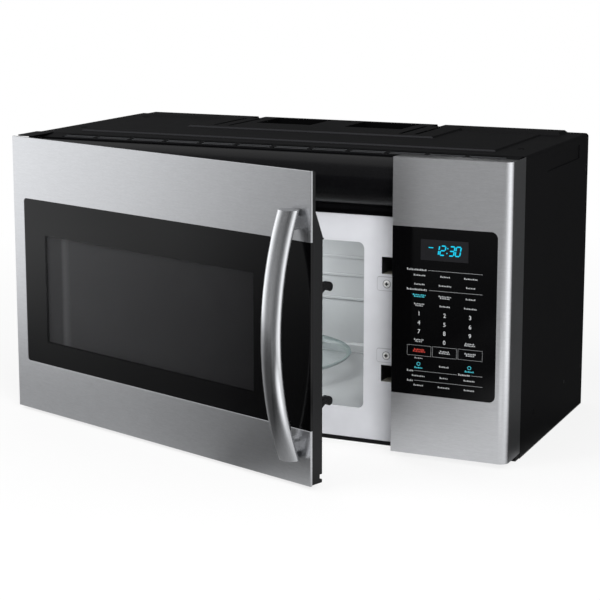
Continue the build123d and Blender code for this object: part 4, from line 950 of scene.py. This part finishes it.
# Rows with a legend in each column: the row's z and the legends' widths
LEGEND_ROWS = (
    (0.2550, (0.017, 0.014, 0.019)),
    (0.2428, (0.015, 0.018, 0.013)),
    (0.1172, (0.019, 0.012, 0.016)),
    (0.1042, (0.014, 0.017, 0.015)),
)
LEGENDS += [(x, z, wide, 0.0011) for z, row in LEGEND_ROWS for x, wide in zip(KEY_COLUMNS, row)]
RULES = [
    (0.3045, 0.2624, 0.0760, 0.0005),
    (0.3054, 0.2355, 0.0745, 0.0005),
    (0.2788, 0.1242, 0.0610, 0.0005),
    (0.3366, 0.1248, 0.0160, 0.0005),
    (0.2970, 0.1108, 0.0960, 0.0005),
]
ACCENTS = [
    (LEFT, 0.2284, 0.019, 0.0010),
    (LEFT, 0.2260, 0.015, 0.0010),
    (LEFT, 0.1285, 0.012, 0.0011),
    (RIGHT, 0.1298, 0.013, 0.0011),
]
STOP_MARKS = [(0.2551, 0.1535, 0.015, 0.0012), (0.2551, 0.1510, 0.018, 0.0012)]
# Middles of the outlined keys, of the round marks and of the number keys, as x and z
STOP_KEY, OTHER_KEYS = (0.2551, 0.1523), ((0.2911, 0.1525), (0.3270, 0.1527))
ROUND_MARKS = ((LEFT, 0.1340), (RIGHT, 0.1352))
NUMBER_KEYS = [(x, z) for z in (0.2028, 0.1903, 0.1783) for x in KEY_COLUMNS] + [(MIDDLE, 0.1659)]
KEY_WIDE, KEY_TALL, KEY_LINE = 0.0338, 0.0140, 0.0004
RING_OUTER, RING_INNER, RING_SEGMENTS = 0.0026, 0.0019, 40
DASH_PITCH, DASH_SHARE = 0.0023, 0.62  # spacing of a legend's dashes, and how much of it they fill
FIRST_DASH, NEXT_DASHES = 2.1, (1.5, 1.2, 1.7)  # heights of the dashes over the legend's own


def outline(x, z):
    """the four lines round a key"""
    rows = [(x, z + side * KEY_TALL / 2, KEY_WIDE, KEY_LINE) for side in (1, -1)]
    return rows + [(x + side * KEY_WIDE / 2, z, KEY_LINE, KEY_TALL) for side in (-1, 1)]


def bars(rows):
    """the place, turn and size of a printed bar for each row"""
    return [((x, PRINT_Y, z), (0, 0, 0), (wide, PRINT_DEPTH, tall)) for x, z, wide, tall in rows]


def dashes(rows):
    """bars broken into short dashes of uneven height, the first of them the tallest"""
    broken = []
    for x, z, wide, tall in rows:
        count = max(4, round(wide / DASH_PITCH))
        pitch = wide / count
        for k in range(count):
            high = tall * (NEXT_DASHES[k % 3] if k else FIRST_DASH)
            middle = x + (k + 0.5 - count / 2) * pitch
            broken.append((middle, z + (high - 1.5 * tall) / 2, pitch * DASH_SHARE, high))
    return bars(broken)


class OBJECT_OT_oven_touch_panel(OvenOperator):
    """Steel trim, keypad glass and its printing, and the chassis and board behind"""

    bl_idname = "object.oven_touch_panel"
    bl_label = "Touch panel"

    def execute(self, context):
        panel = brushed("brushed_panel_steel", self.looks.steel, self.sizes.grain)
        # The panel's face is a little matt and its folded side is not
        panel.feed("Metallic", panel.span(panel.y, FRONT + 0.004, FRONT + 0.010, 0.85, 1.0))
        dress(panel, "control_trim")
        sheet = Finish("keypad_glass", Specular_IOR_Level=0.17)
        smear = sheet.noise(22.0, detail=4.0)
        sheet.paint(smear, shaded(self.looks.glass, 0.9), shaded(self.looks.glass, 1.3))
        sheet.feed("Roughness", sheet.span(smear, 0.4, 0.8, 0.06, 0.12))
        dress(sheet, "keypad_glass")
        dress(moulded("chassis_plastic", self.looks.plastic, 0.42), "control_chassis")
        board = Finish("green_board", Specular_IOR_Level=0.6, Roughness=0.3)
        trace = board.cells(110.0, (1, 1, 1.6), randomness=0.9)
        line = board.within(trace % 0.34, 0.02, 0.07, 0.01)
        pads = board.span(board.cells(240.0), 0.16, 0.12)
        tone = board.mix(line, (0.012, 0.09, 0.035), (0.03, 0.20, 0.08))
        board.paint(pads, tone, (0.55, 0.54, 0.50))
        board.feed("Metallic", pads).emboss(line, 0.00005, 0.5)
        dress(board, "control_board")
        self.print_keys()
        return {"FINISHED"}

    def print_keys(self):
        """legends, rules, outlines, marks and numbers on the keypad glass"""
        looks = self.looks
        pale = ink("legend_ink", looks.legend)
        pale.feed("Roughness", pale.span(pale.noise(300.0), 0.3, 0.7, 0.4, 0.6))
        words = ink("legend_words_ink", looks.legend, 0.55, 0.68, 0.5)
        dim = ink("dim_ink", looks.legend, 0.32, 0.42, 0.5)
        cool = ink("accent_ink", looks.accent)
        red = ink("stop_ink", looks.stop)
        lines = RULES + [row for key in OTHER_KEYS for row in outline(*key)]
        for name, rows, colour in (
            ("keypad_legends", dashes(LEGENDS), words),
            ("keypad_rules", bars(lines), dim),
            ("stop_key_outline", bars(outline(*STOP_KEY)), dim),
            ("stop_key_mark", dashes(STOP_MARKS), red),
            ("keypad_accents", dashes(ACCENTS), cool),
        ):
            set_out(name, block_shape(), rows, colour)
        marks = [((x, PRINT_Y, z), (0, 0, 0), (1, 1, 1)) for x, z in ROUND_MARKS]
        set_out("keypad_marks", ring_shape(), marks, cool)
        for text, place in zip("1234567890", NUMBER_KEYS):
            digit(text, place, self.sizes.digit_height, pale)


def ring_shape():
    """a flat printed ring that faces -Y"""
    work = bmesh.new()
    half = PRINT_DEPTH / 2
    turns = [2 * math.pi * k / RING_SEGMENTS for k in range(RING_SEGMENTS)]
    loops = [
        [work.verts.new((radius * math.cos(a), y, radius * math.sin(a))) for a in turns]
        for radius, y in (
            (RING_OUTER, half),
            (RING_OUTER, -half),
            (RING_INNER, -half),
            (RING_INNER, half),
        )
    ]
    for one, other in zip(loops, loops[1:] + loops[:1]):
        close_ring(work, one, other)
    bmesh.ops.recalc_face_normals(work, faces=work.faces)
    return shape_from("ring_shape", work)


DIGIT_SHARE = 0.73  # a digit's height as a share of its type size


def digit(text, place, height, finish):
    """one printed digit on the keypad"""
    name = "key_digit_" + text
    curve = bpy.data.curves.new(name, "FONT")
    curve.body, curve.size, curve.extrude = text, height / DIGIT_SHARE, PRINT_DEPTH / 2
    curve.align_x, curve.align_y = "CENTER", "CENTER"
    curve.resolution_u = 6
    holder = bpy.data.objects.new(name, curve)
    bpy.context.scene.collection.objects.link(holder)
    graph = bpy.context.evaluated_depsgraph_get()
    mesh = bpy.data.meshes.new_from_object(holder.evaluated_get(graph))
    bpy.data.objects.remove(holder)
    piece = bpy.data.objects.new(name, mesh)
    bpy.context.scene.collection.objects.link(piece)
    mesh.materials.clear()
    mesh.materials.append(finish.material)
    x, z = place
    tidy(piece, Matrix.Translation((x, PRINT_Y, z)) @ Matrix.Rotation(math.pi / 2, 4, "X"))
    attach(piece, "oven")


# Bars of a clock digit: x and z of the middle and the length, in digit heights, and whether upright
CLOCK_BARS = {
    "a": (0.0, 0.5, 0.52, False),
    "b": (0.26, 0.25, 0.5, True),
    "c": (0.26, -0.25, 0.5, True),
    "d": (0.0, -0.5, 0.52, False),
    "e": (-0.26, -0.25, 0.5, True),
    "f": (-0.26, 0.25, 0.5, True),
    "g": (0.0, 0.0, 0.52, False),
}
CLOCK_DIGITS = {"0": "abcdef", "1": "bc", "2": "abged", "3": "abgcd"}
CLOCK_TIME = ((-0.0145, "1"), (-0.0058, "2"), (0.0068, "3"), (0.0155, "0"))
CLOCK_MIDDLE, CLOCK_SLANT = (0.2926, 0.2905), 0.17
CLOCK_MARK, CLOCK_MARK_SIZE = (0.2702, 0.2935), (0.0066, PRINT_DEPTH, 0.0012)
BAR_THICK, BAR_SHARE = 0.13, 0.86  # a bar's thickness in digit heights, and how much it fills
COLON_X, COLON_RISE = 0.0005, 0.26


class OBJECT_OT_oven_clock(OvenOperator):
    """The clock window and its lit seven-bar digits"""

    bl_idname = "object.oven_clock"
    bl_label = "Clock"

    def execute(self, context):
        window = Finish("clock_window", Specular_IOR_Level=0.12)
        haze = window.noise(40.0)
        window.paint(haze, rgb(25, 25, 27), rgb(32, 32, 34))
        window.feed("Roughness", window.span(haze, 0.3, 0.7, 0.1, 0.2))
        dress(window, "display_window")
        lit = Finish("lit_segments", Roughness=0.4, Emission_Strength=1.0)
        glow = lit.span(lit.noise(500.0), 0.2, 0.8)
        blue = self.looks.clock
        lit.paint(glow, shaded(blue, 0.08), shaded(blue, 0.12))
        lit.feed("Emission Color", lit.mix(glow, shaded(blue, 0.85), tuple(blue)))
        tall = self.sizes.clock_height
        thick = tall * BAR_THICK
        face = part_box("display_window")[0].y - 0.00004
        rows = []
        for place, text in CLOCK_TIME:
            for bar in CLOCK_DIGITS[text]:
                x, z, run, upright = CLOCK_BARS[bar]
                turn = (0, math.pi / 2 if upright else 0, 0)
                size = (run * tall * BAR_SHARE, PRINT_DEPTH, thick)
                rows.append(((place + x * tall, face, z * tall), turn, size))
        for z in (-COLON_RISE * tall, COLON_RISE * tall):
            rows.append(((COLON_X, face, z), (0, 0, 0), (thick, PRINT_DEPTH, thick)))
        x, z = CLOCK_MIDDLE
        lean = Matrix(((1, 0, CLOCK_SLANT, x), (0, 1, 0, 0), (0, 0, 1, z), (0, 0, 0, 1)))
        set_out("clock_digits", segment_shape(), rows, lit, lean)
        x, z = CLOCK_MARK
        mark = [((x, face, z), (0, 0, 0), CLOCK_MARK_SIZE)]
        set_out("clock_mark", block_shape(), mark, lit)
        return {"FINISHED"}


def segment_shape():
    """a bar one long and one high with pointed ends"""
    work = bmesh.new()
    edge = [(-0.5, 0), (-0.42, 0.5), (0.42, 0.5), (0.5, 0), (0.42, -0.5), (-0.42, -0.5)]
    near, far = ([work.verts.new((x, y, z)) for x, z in edge] for y in (-0.5, 0.5))
    work.faces.new(near)
    work.faces.new(far[::-1])
    close_ring(work, far, near)
    bmesh.ops.recalc_face_normals(work, faces=work.faces)
    return shape_from("segment_shape", work)


class OBJECT_OT_oven_turntable(OvenOperator):
    """Glass tray, roller ring, rollers, coupler and the motor under them"""

    bl_idname = "object.oven_turntable"
    bl_label = "Turntable"

    def execute(self, context):
        tray = Finish("tray_glass", Specular_IOR_Level=0.6)
        low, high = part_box("glass_tray")
        middle = (low + high) / 2
        far = tray.distance(tray.x - middle.x, tray.y - middle.y)
        rings = (far * 420.0).waves()
        edge = tray.span(far, 0.148, 0.155)
        tray.paint(edge, rgb(128, 142, 142), rgb(74, 98, 95))
        tray.feed("Roughness", tray.span(rings, 0.0, 1.0, 0.04, 0.08)).emboss(rings, 0.0003, 0.5)
        tray.feed("Alpha", tray.span(edge, 0.0, 1.0, 0.16, 0.6))
        dress(tray, "glass_tray")
        pale = moulded("roller_plastic", rgb(216, 212, 200), 0.42)
        dress(pale, "roller_ring", "roller_1", "roller_2", "roller_3", "drive_coupler")
        dress(plated("motor_can", (0.52, 0.53, 0.54), 0.36), "turntable_motor")
        return {"FINISHED"}


class OBJECT_OT_oven_vent_blower(OvenOperator):
    """Blower housings, motor and drum wheels of the vent"""

    bl_idname = "object.oven_vent_blower"
    bl_label = "Vent blower"

    def execute(self, context):
        dull = coated("housing_paint", shaded(self.looks.case, 0.5), 0.6, specular=0.03)
        dress(dull, "blower_housings")
        dress(plated("blower_motor_can", (0.50, 0.51, 0.52), 0.34), "blower_motor")
        dress(moulded("wheel_plastic", rgb(208, 204, 192), 0.5), "blower_wheels")
        return {"FINISHED"}


class OBJECT_OT_oven_power_parts(OvenOperator):
    """Magnetron, waveguide, transformer, capacitor, cooling fan and lamps"""

    bl_idname = "object.oven_power_parts"
    bl_label = "Power parts"

    def execute(self, context):
        dress(plated("waveguide_sheet", *GALVANISED), "waveguide")
        low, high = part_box("magnetron")
        tube = Finish("magnetron_metal", Metallic=1.0)
        fins = tube.within((tube.z * 400.0) % 1.0, 0.15, 0.6, 0.05)
        finned = fins * tube.within(tube.x, low.x + 0.012, high.x - 0.012, 0.002)
        tube.paint(finned, (0.34, 0.35, 0.36), (0.62, 0.62, 0.61))
        tube.feed("Roughness", tube.span(tube.noise(60.0), 0.3, 0.7, 0.32, 0.46))
        tube.emboss(finned, 0.0006, 0.6)
        dress(tube, "magnetron")
        low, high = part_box("transformer")
        coil = Finish("transformer_coil", Specular_IOR_Level=0.5)
        wound = 1.0 - coil.within(coil.y, low.y + 0.0145, high.y - 0.0145, 0.0004)
        turns, plates = (coil.z * 3400.0).waves(), (coil.x * 5200.0).waves()
        steel = coil.mix(plates, (0.05, 0.05, 0.052), (0.12, 0.12, 0.125))
        copper = coil.mix(turns, (0.16, 0.035, 0.012), (0.52, 0.16, 0.06))
        coil.paint(wound, steel, copper)
        coil.feed("Roughness", coil.span(coil.noise(50.0), 0.3, 0.7, 0.28, 0.42))
        coil.emboss(turns * wound + plates * (1.0 - wound), 0.0003, 0.6)
        dress(coil, "transformer")
        dress(plated("capacitor_can", (0.60, 0.60, 0.59), 0.3), "capacitor")
        dress(plated("fan_motor_steel", (0.48, 0.49, 0.50), 0.4), "fan_motor")
        dress(moulded("fan_plastic", rgb(206, 203, 192), 0.46), "fan_shroud", "fan_blade")
        dress(coated("lamp_ceramic", rgb(226, 222, 208), 0.35), "cavity_lamp", "cooktop_lamps")
        lens = Finish("lamp_lens", Alpha=0.5, Specular_IOR_Level=0.6)
        ribs = (lens.x * 900.0).waves()
        lens.paint(ribs, rgb(206, 214, 210), rgb(226, 232, 228))
        lens.feed("Roughness", lens.span(ribs, 0.0, 1.0, 0.12, 0.25)).emboss(ribs, 0.0003, 0.6)
        dress(lens, "lamp_lenses")
        return {"FINISHED"}


# Scales of the screw heads, the y of the pads' faces and the frame's, and the x of the case's side
PAD_HEAD, FRAME_HEAD, CASE_HEAD = (0.0050, 0.0048, 0.0050), (0.0034, 0.0040, 0.0034), (0.0035,) * 3
PAD_FACE, FRAME_FACE = FRONT + 0.0462, FRONT + 0.0448
CASE_SIDE = 0.3789


class OBJECT_OT_oven_screws(OvenOperator):
    """Screw heads with a pressed cross, in place of the plain ones"""

    bl_idname = "object.oven_screws"
    bl_label = "Screws"

    def execute(self, context):
        white = coated("screw_enamel", rgb(252, 252, 250), 0.34)
        # Painted shade: the pressed cross is painted near black, for the shade in its recess
        white.over(white.attribute("pressed"), (0.03, 0.03, 0.03))
        zinc = plated("screw_zinc", (0.68, 0.67, 0.62), 0.28)
        black = coated("screw_black", (0.02, 0.02, 0.02), 0.4, specular=0.3)
        # Painted shade: the pressed cross is painted darker still, for the shade in its recess
        black.over(black.attribute("pressed"), (0.002, 0.002, 0.002))
        heads = [((PAD_X, PAD_FACE, z), (0, 0, 0), PAD_HEAD) for z in PAD_HEIGHTS]
        heads += [((-0.3655, FRAME_FACE, z), (0, 0.5, 0), FRAME_HEAD) for z in (0.341, 0.354)]
        heads += [((x, FRAME_FACE, 0.017), (0, 0.2, 0), FRAME_HEAD) for x in (-0.3715, -0.3595)]
        pan = head_shape(dome=0.34, recess=0.2, arm=0.5, half_arm=0.2, depth=1.2)
        piece = set_out("frame_screw_heads", pan, heads, white, angle=30.0)
        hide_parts("frame_screws")
        sides = []
        for side in (-1, 1):
            turn = (0, 0, side * math.pi / 2)
            places = [(0.180, z) for z in (0.060, 0.210, 0.360)]
            if side > 0:
                places.append((0.0905, 0.057))
            sides += [((side * CASE_SIDE, y, z), turn, CASE_HEAD) for y, z in places]
        flush = head_shape(dome=0.165, recess=0.12, arm=0.62, half_arm=0.13, depth=1.4)
        piece = set_out("case_screw_heads", flush, sides, black, angle=30.0)
        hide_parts("case_screws")
        dress(zinc, "door_screws")
        return {"FINISHED"}


class OBJECT_OT_oven_filters(OvenOperator):
    """Aluminium mesh grease filters and the charcoal filter"""

    bl_idname = "object.oven_filters"
    bl_label = "Filters"

    def execute(self, context):
        mesh = Finish("filter_mesh", Metallic=1.0)
        low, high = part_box("grease_filter_left")
        wires = mesh.span(mesh.cells(260.0, randomness=0.35), 0.30, 0.46)
        middle = mesh.within(abs(mesh.x), abs(high.x) + 0.010, abs(low.x) - 0.010, 0.0004)
        middle = middle * mesh.within(mesh.y, low.y + 0.010, high.y - 0.010, 0.0004)
        # Painted shade: the openings between the wires are painted near black, for the shade seen
        # through the mesh
        mesh.paint(middle * (1.0 - wires), (0.72, 0.73, 0.74), (0.10, 0.10, 0.10))
        mesh.feed("Roughness", mesh.span(mesh.noise(300.0), 0.3, 0.7, 0.3, 0.45))
        mesh.emboss(wires * middle, 0.0006, 0.8)
        dress(mesh, "grease_filter_left", "grease_filter_right")
        coal = Finish("charcoal", Specular_IOR_Level=0.3, Roughness=0.85)
        grains = coal.cells(420.0)
        coal.paint(grains, (0.03, 0.03, 0.03), (0.008, 0.008, 0.008))
        coal.emboss(1.0 - grains, 0.0012, 0.8)
        dress(coal, "charcoal_filter")
        return {"FINISHED"}


def seen_rays(nodes):
    """1 for the rays that see the white background: the camera's, reflections and clear glass"""
    camera, glossy, clear = (
        nodes.node("ShaderNodeLightPath", out=f"Is {kind} Ray")
        for kind in ("Camera", "Glossy", "Transmission")
    )
    return (camera + glossy + clear) & 1.0


def ease(value, low, high):
    """from 0 to 1 between two limits, with soft ends"""
    t = min(1.0, max(0.0, (value - low) / (high - low)))
    return t * t * (3 - 2 * t)


# Bearing in degrees from the front towards the right, and how bright the cards are there
GLOW_ROUND = (
    *((-180, 0.06), (-140, 0.08), (-122, 1.20), (-104, 2.10), (-90, 1.70), (-77, 1.32)),
    *((-69, 1.04), (-60, 0.50), (-45, 0.36), (-22, 0.38), (-4, 0.30), (14, 0.18), (38, 0.24)),
    *((56, 0.60), (72, 1.30), (84, 1.60), (96, 1.45), (116, 0.80), (135, 0.25), (145, 0.04)),
    (180, 0.06),
)
OVEN_FRONT = (0.10, -0.30)  # where bearings start, in front of the door
OVEN_EDGE = (0.38, -0.19)  # and where they start beside the oven, at the panel's right edge
PATCH, SPOT = (0.34, -0.24), (0.42, -0.60)  # pale places that the foot of the panel reflects
STRIP_START, STRIP_BEARING = (0.17, -0.43), 57.0  # the pale strip in the bowed handle


def bearing_from(start, x, y):
    """how far a place on the floor is from another, and in which direction"""
    right, forward = x - start[0], start[1] - y
    return math.hypot(right, forward), math.degrees(math.atan2(right, forward))


def card_glow(x, y, z):
    """how bright the cards are at a point: bright at both sides, dim in front and dark behind"""
    away, bearing = bearing_from(OVEN_FRONT, x, y)
    beside = x > OVEN_EDGE[0] and y > -0.25
    if beside:
        clear, bearing = bearing_from(OVEN_EDGE, x, y)
    for (low, a), (high, b) in zip(GLOW_ROUND, GLOW_ROUND[1:]):
        if low <= bearing <= high:
            glow = a + (b - a) * ease(bearing, low, high)
            break
    # Close to the oven the cards are dark
    if bearing < 0:
        sideways = ease(-bearing, 80, 96)
        share = ease(away, 0.4, 2.1) * (1 - sideways) + ease(away, 0.9, 1.8) * sideways
        glow *= 0.2 + 0.8 * share
    if beside:
        glow *= 0.2 + 0.8 * ease(clear, 0.10, 0.42)
    glow *= 1.0 - 0.3 * ease(z, 0.5, 1.2)
    if x > 0.0 and y < -0.19:
        foot = 1.0 - ease(bearing_from(PATCH, x, y)[0], 0.05, 0.42)
        glow = glow * (0.15 + 0.85 * ease(away, 0.15, 0.9)) * (1 - foot) + 0.86 * foot
        glow += 1.4 * (1.0 - ease(bearing_from(SPOT, x, y)[0], 0.08, 0.26))
    if x > 0.3 and y < STRIP_START[1]:
        off, turned = bearing_from(STRIP_START, x, y)
        strip = 1.0 - ease(abs(turned - STRIP_BEARING), 5.0, 14.0)
        floor_share = ease(off, 0.4, 0.7) * (1.0 - ease(off, 1.2, 1.5))
        glow += strip * (0.5 * floor_share + 0.2 * ease(z, 0.3, 0.5))
    return glow


CARD_HALF, CARD_SQUARES, CARD_LEVEL = 2.3, 92, 0.0015
WALL_RADIUS, WALL_PARTS = 2.2, 120
WALL_LEVELS = (0.0, 0.1, 0.25, 0.45, 0.7, 1.0, 1.4, 1.9, 2.6, 3.6)


def card_mesh():
    """a sheet just over the floor and a ring of wall round the studio, each point with its glow"""
    work = bmesh.new()
    glow = work.verts.layers.float.new("glow")

    def point(x, y, z):
        vert = work.verts.new((x, y, z))
        vert[glow] = card_glow(x, y, z)
        return vert

    lines = [2 * CARD_HALF * i / CARD_SQUARES - CARD_HALF for i in range(CARD_SQUARES + 1)]
    grid = [[point(x, y, CARD_LEVEL) for y in lines] for x in lines]
    for left, right in zip(grid, grid[1:]):
        for square in zip(left, right, right[1:], left[1:]):
            middle = (square[0].co + square[2].co) / 2
            # The oven stands in a gap of the sheet
            if abs(middle.x) > 0.36 or not -0.14 < middle.y < 0.16:
                work.faces.new(square)
    turns = [2 * math.pi * k / WALL_PARTS for k in range(WALL_PARTS)]
    rings = [
        [point(WALL_RADIUS * math.sin(a), -WALL_RADIUS * math.cos(a), z) for a in turns]
        for z in WALL_LEVELS
    ]
    for low, high in zip(rings, rings[1:]):
        close_ring(work, high, low)
    return work


# The photograph's camera: its place, its turn in radians, its focal length and its shift
CAMERA_PLACE = (1.03225, -2.30393, 0.68946)
CAMERA_YAW, CAMERA_PITCH = 0.423, -0.1739
CAMERA_LENS, CAMERA_SHIFT = 103.195, -0.09
# Each lamp's name, the setting of its power, its width, its place and what it points at
LAMPS = (
    ("key_light", "key", 1.6, (-1.5, -1.7, 2.3), (0, 0, 0.2)),
    ("side_light", "side", 1.0, (1.5, -1.9, 1.3), (0.15, -0.1, 0.2)),
    ("oven_light", "inside", 0.22, (-0.10, -0.02, 0.280), (-0.10, -0.02, 0.0)),
)


def facing(direction):
    """the turn of a camera or lamp that looks in a direction"""
    return Vector(direction).to_track_quat("-Z", "Y").to_euler()


class OBJECT_OT_oven_stage(OvenOperator):
    """Camera, floor, lamps, world and the graded cards that the steel reflects"""

    bl_idname = "object.oven_stage"
    bl_label = "Stage"

    def execute(self, context):
        scene, studio = context.scene, context.scene.oven_studio
        scene.view_settings.view_transform = "Standard"
        scene.camera = self.camera()
        floor, cards = self.floor(studio), self.cards()
        for name, power, size, place, aim in LAMPS:
            lamp = bpy.data.lights.new(name, "AREA")
            lamp.energy, lamp.shape, lamp.size = getattr(studio, power), "SQUARE", size
            holder = self.linked(name, lamp)
            holder.location = place
            holder.rotation_euler = facing(Vector(aim) - Vector(place))
            holder.visible_camera = holder.visible_glossy = False
        scene.world = bpy.data.worlds.new("studio_world")
        sky = Nodes(cleared_nodes(scene.world))
        strength = seen_rays(sky) * (1.0 - studio.fill) + studio.fill
        shine = {"Color": (1.0, 1.0, 1.0), "Strength": strength}
        sky.node("ShaderNodeOutputWorld", None, {0: sky.node("ShaderNodeBackground", None, shine)})
        return {"FINISHED"}

    def linked(self, name, data):
        """a new object in the scene"""
        made = bpy.data.objects.new(name, data)
        bpy.context.scene.collection.objects.link(made)
        return made

    def camera(self):
        """the photograph's camera"""
        lens = bpy.data.cameras.new("photo_camera")
        lens.sensor_width, lens.lens, lens.shift_y = 36.0, CAMERA_LENS, CAMERA_SHIFT
        lens.clip_start, lens.clip_end = 0.05, 100.0
        camera = self.linked("photo_camera", lens)
        flat = math.cos(CAMERA_PITCH)
        look = (-math.sin(CAMERA_YAW) * flat, math.cos(CAMERA_YAW) * flat, math.sin(CAMERA_PITCH))
        camera.location, camera.rotation_euler = CAMERA_PLACE, facing(look)
        return camera

    def floor(self, studio):
        """a pale floor that shows white to the camera further out"""
        white = bpy.data.materials.new("floor_white")
        nodes = Nodes(cleared_nodes(white))
        where = nodes.node("ShaderNodeTexCoord", out="Object")
        far = nodes.node("ShaderNodeVectorMath", {"operation": "LENGTH"}, {0: where}, "Value")
        further = {0: far, 1: 0.5, 2: 1.7, 3: 0.8, 4: 1.0}
        open_floor = nodes.node("ShaderNodeMapRange", {"clamp": True}, further)
        speck = nodes.node("ShaderNodeTexNoise", None, {"Vector": where, "Scale": 60.0})
        colours = {0: speck, 6: tuple(studio.floor), 7: shaded(studio.floor, 1.02)}
        tone = nodes.node("ShaderNodeMix", {"data_type": "RGBA"}, colours, 2)
        matt = nodes.node("ShaderNodeBsdfDiffuse", None, {"Color": tone})
        shine = nodes.node("ShaderNodeEmission", None, {"Color": (1.0, 1.0, 1.0), "Strength": 1.0})
        share = seen_rays(nodes) * open_floor
        both = nodes.node("ShaderNodeMixShader", None, {0: share, 1: matt, 2: shine})
        nodes.node("ShaderNodeOutputMaterial", None, {0: both})
        work = bmesh.new()
        bmesh.ops.create_circle(work, cap_ends=True, radius=9.0, segments=96)
        return self.surface("studio_floor", work, white)

    def cards(self):
        """the cards, which only reflections see"""
        card = bpy.data.materials.new("studio_card")
        nodes = Nodes(cleared_nodes(card))
        glow = nodes.node("ShaderNodeAttribute", {"attribute_name": "glow"}, out="Fac")
        light = {"Color": (0.98, 0.99, 1.0), "Strength": glow}
        shine = nodes.node("ShaderNodeEmission", None, light)
        nodes.node("ShaderNodeOutputMaterial", None, {0: shine})
        cards = self.surface("studio_cards", card_mesh(), card)
        cards.visible_camera = cards.visible_diffuse = cards.visible_shadow = False
        cards.visible_transmission = False
        return cards

    def surface(self, name, work, material):
        """a linked object of the stage with one material"""
        made = shape_from(name, work)
        bpy.context.scene.collection.objects.link(made)
        made.data.materials.append(material)
        return made


STEPS = (
    OBJECT_OT_oven_case,
    OBJECT_OT_oven_cavity,
    OBJECT_OT_oven_front_frame,
    OBJECT_OT_oven_door,
    OBJECT_OT_oven_handle,
    OBJECT_OT_oven_latch,
    OBJECT_OT_oven_touch_panel,
    OBJECT_OT_oven_clock,
    OBJECT_OT_oven_turntable,
    OBJECT_OT_oven_vent_blower,
    OBJECT_OT_oven_power_parts,
    OBJECT_OT_oven_screws,
    OBJECT_OT_oven_filters,
    OBJECT_OT_oven_stage,
)


class VIEW3D_PT_oven(bpy.types.Panel):
    """Sidebar panel that lists the oven's pieces and settings"""

    bl_idname = "VIEW3D_PT_oven"
    bl_label = "Oven"
    bl_space_type = "VIEW_3D"
    bl_region_type = "UI"
    bl_category = "Oven"

    def draw(self, context):
        for step in STEPS:
            self.layout.operator(step.bl_idname)
        for label in GROUPS:
            group = getattr(context.scene, label)
            column = self.layout.column(align=True)
            for name in group.bl_rna.properties.keys():
                if name not in ("rna_type", "name"):
                    column.prop(group, name)


GROUPS = {"oven_finishes": OvenFinishes, "oven_sizes": OvenSizes, "oven_studio": OvenStudio}


def register():
    for group in GROUPS.values():
        bpy.utils.register_class(group)
    for name, group in GROUPS.items():
        setattr(bpy.types.Scene, name, bpy.props.PointerProperty(type=group))
    for step in STEPS:
        bpy.utils.register_class(step)
    bpy.utils.register_class(VIEW3D_PT_oven)


def unregister():
    bpy.utils.unregister_class(VIEW3D_PT_oven)
    for step in reversed(STEPS):
        bpy.utils.unregister_class(step)
    for name, group in GROUPS.items():
        delattr(bpy.types.Scene, name)
        bpy.utils.unregister_class(group)


def main():
    register()
    for step in STEPS:
        group, name = step.bl_idname.split(".")
        getattr(getattr(bpy.ops, group), name)()


if __name__ == "__main__":
    main()
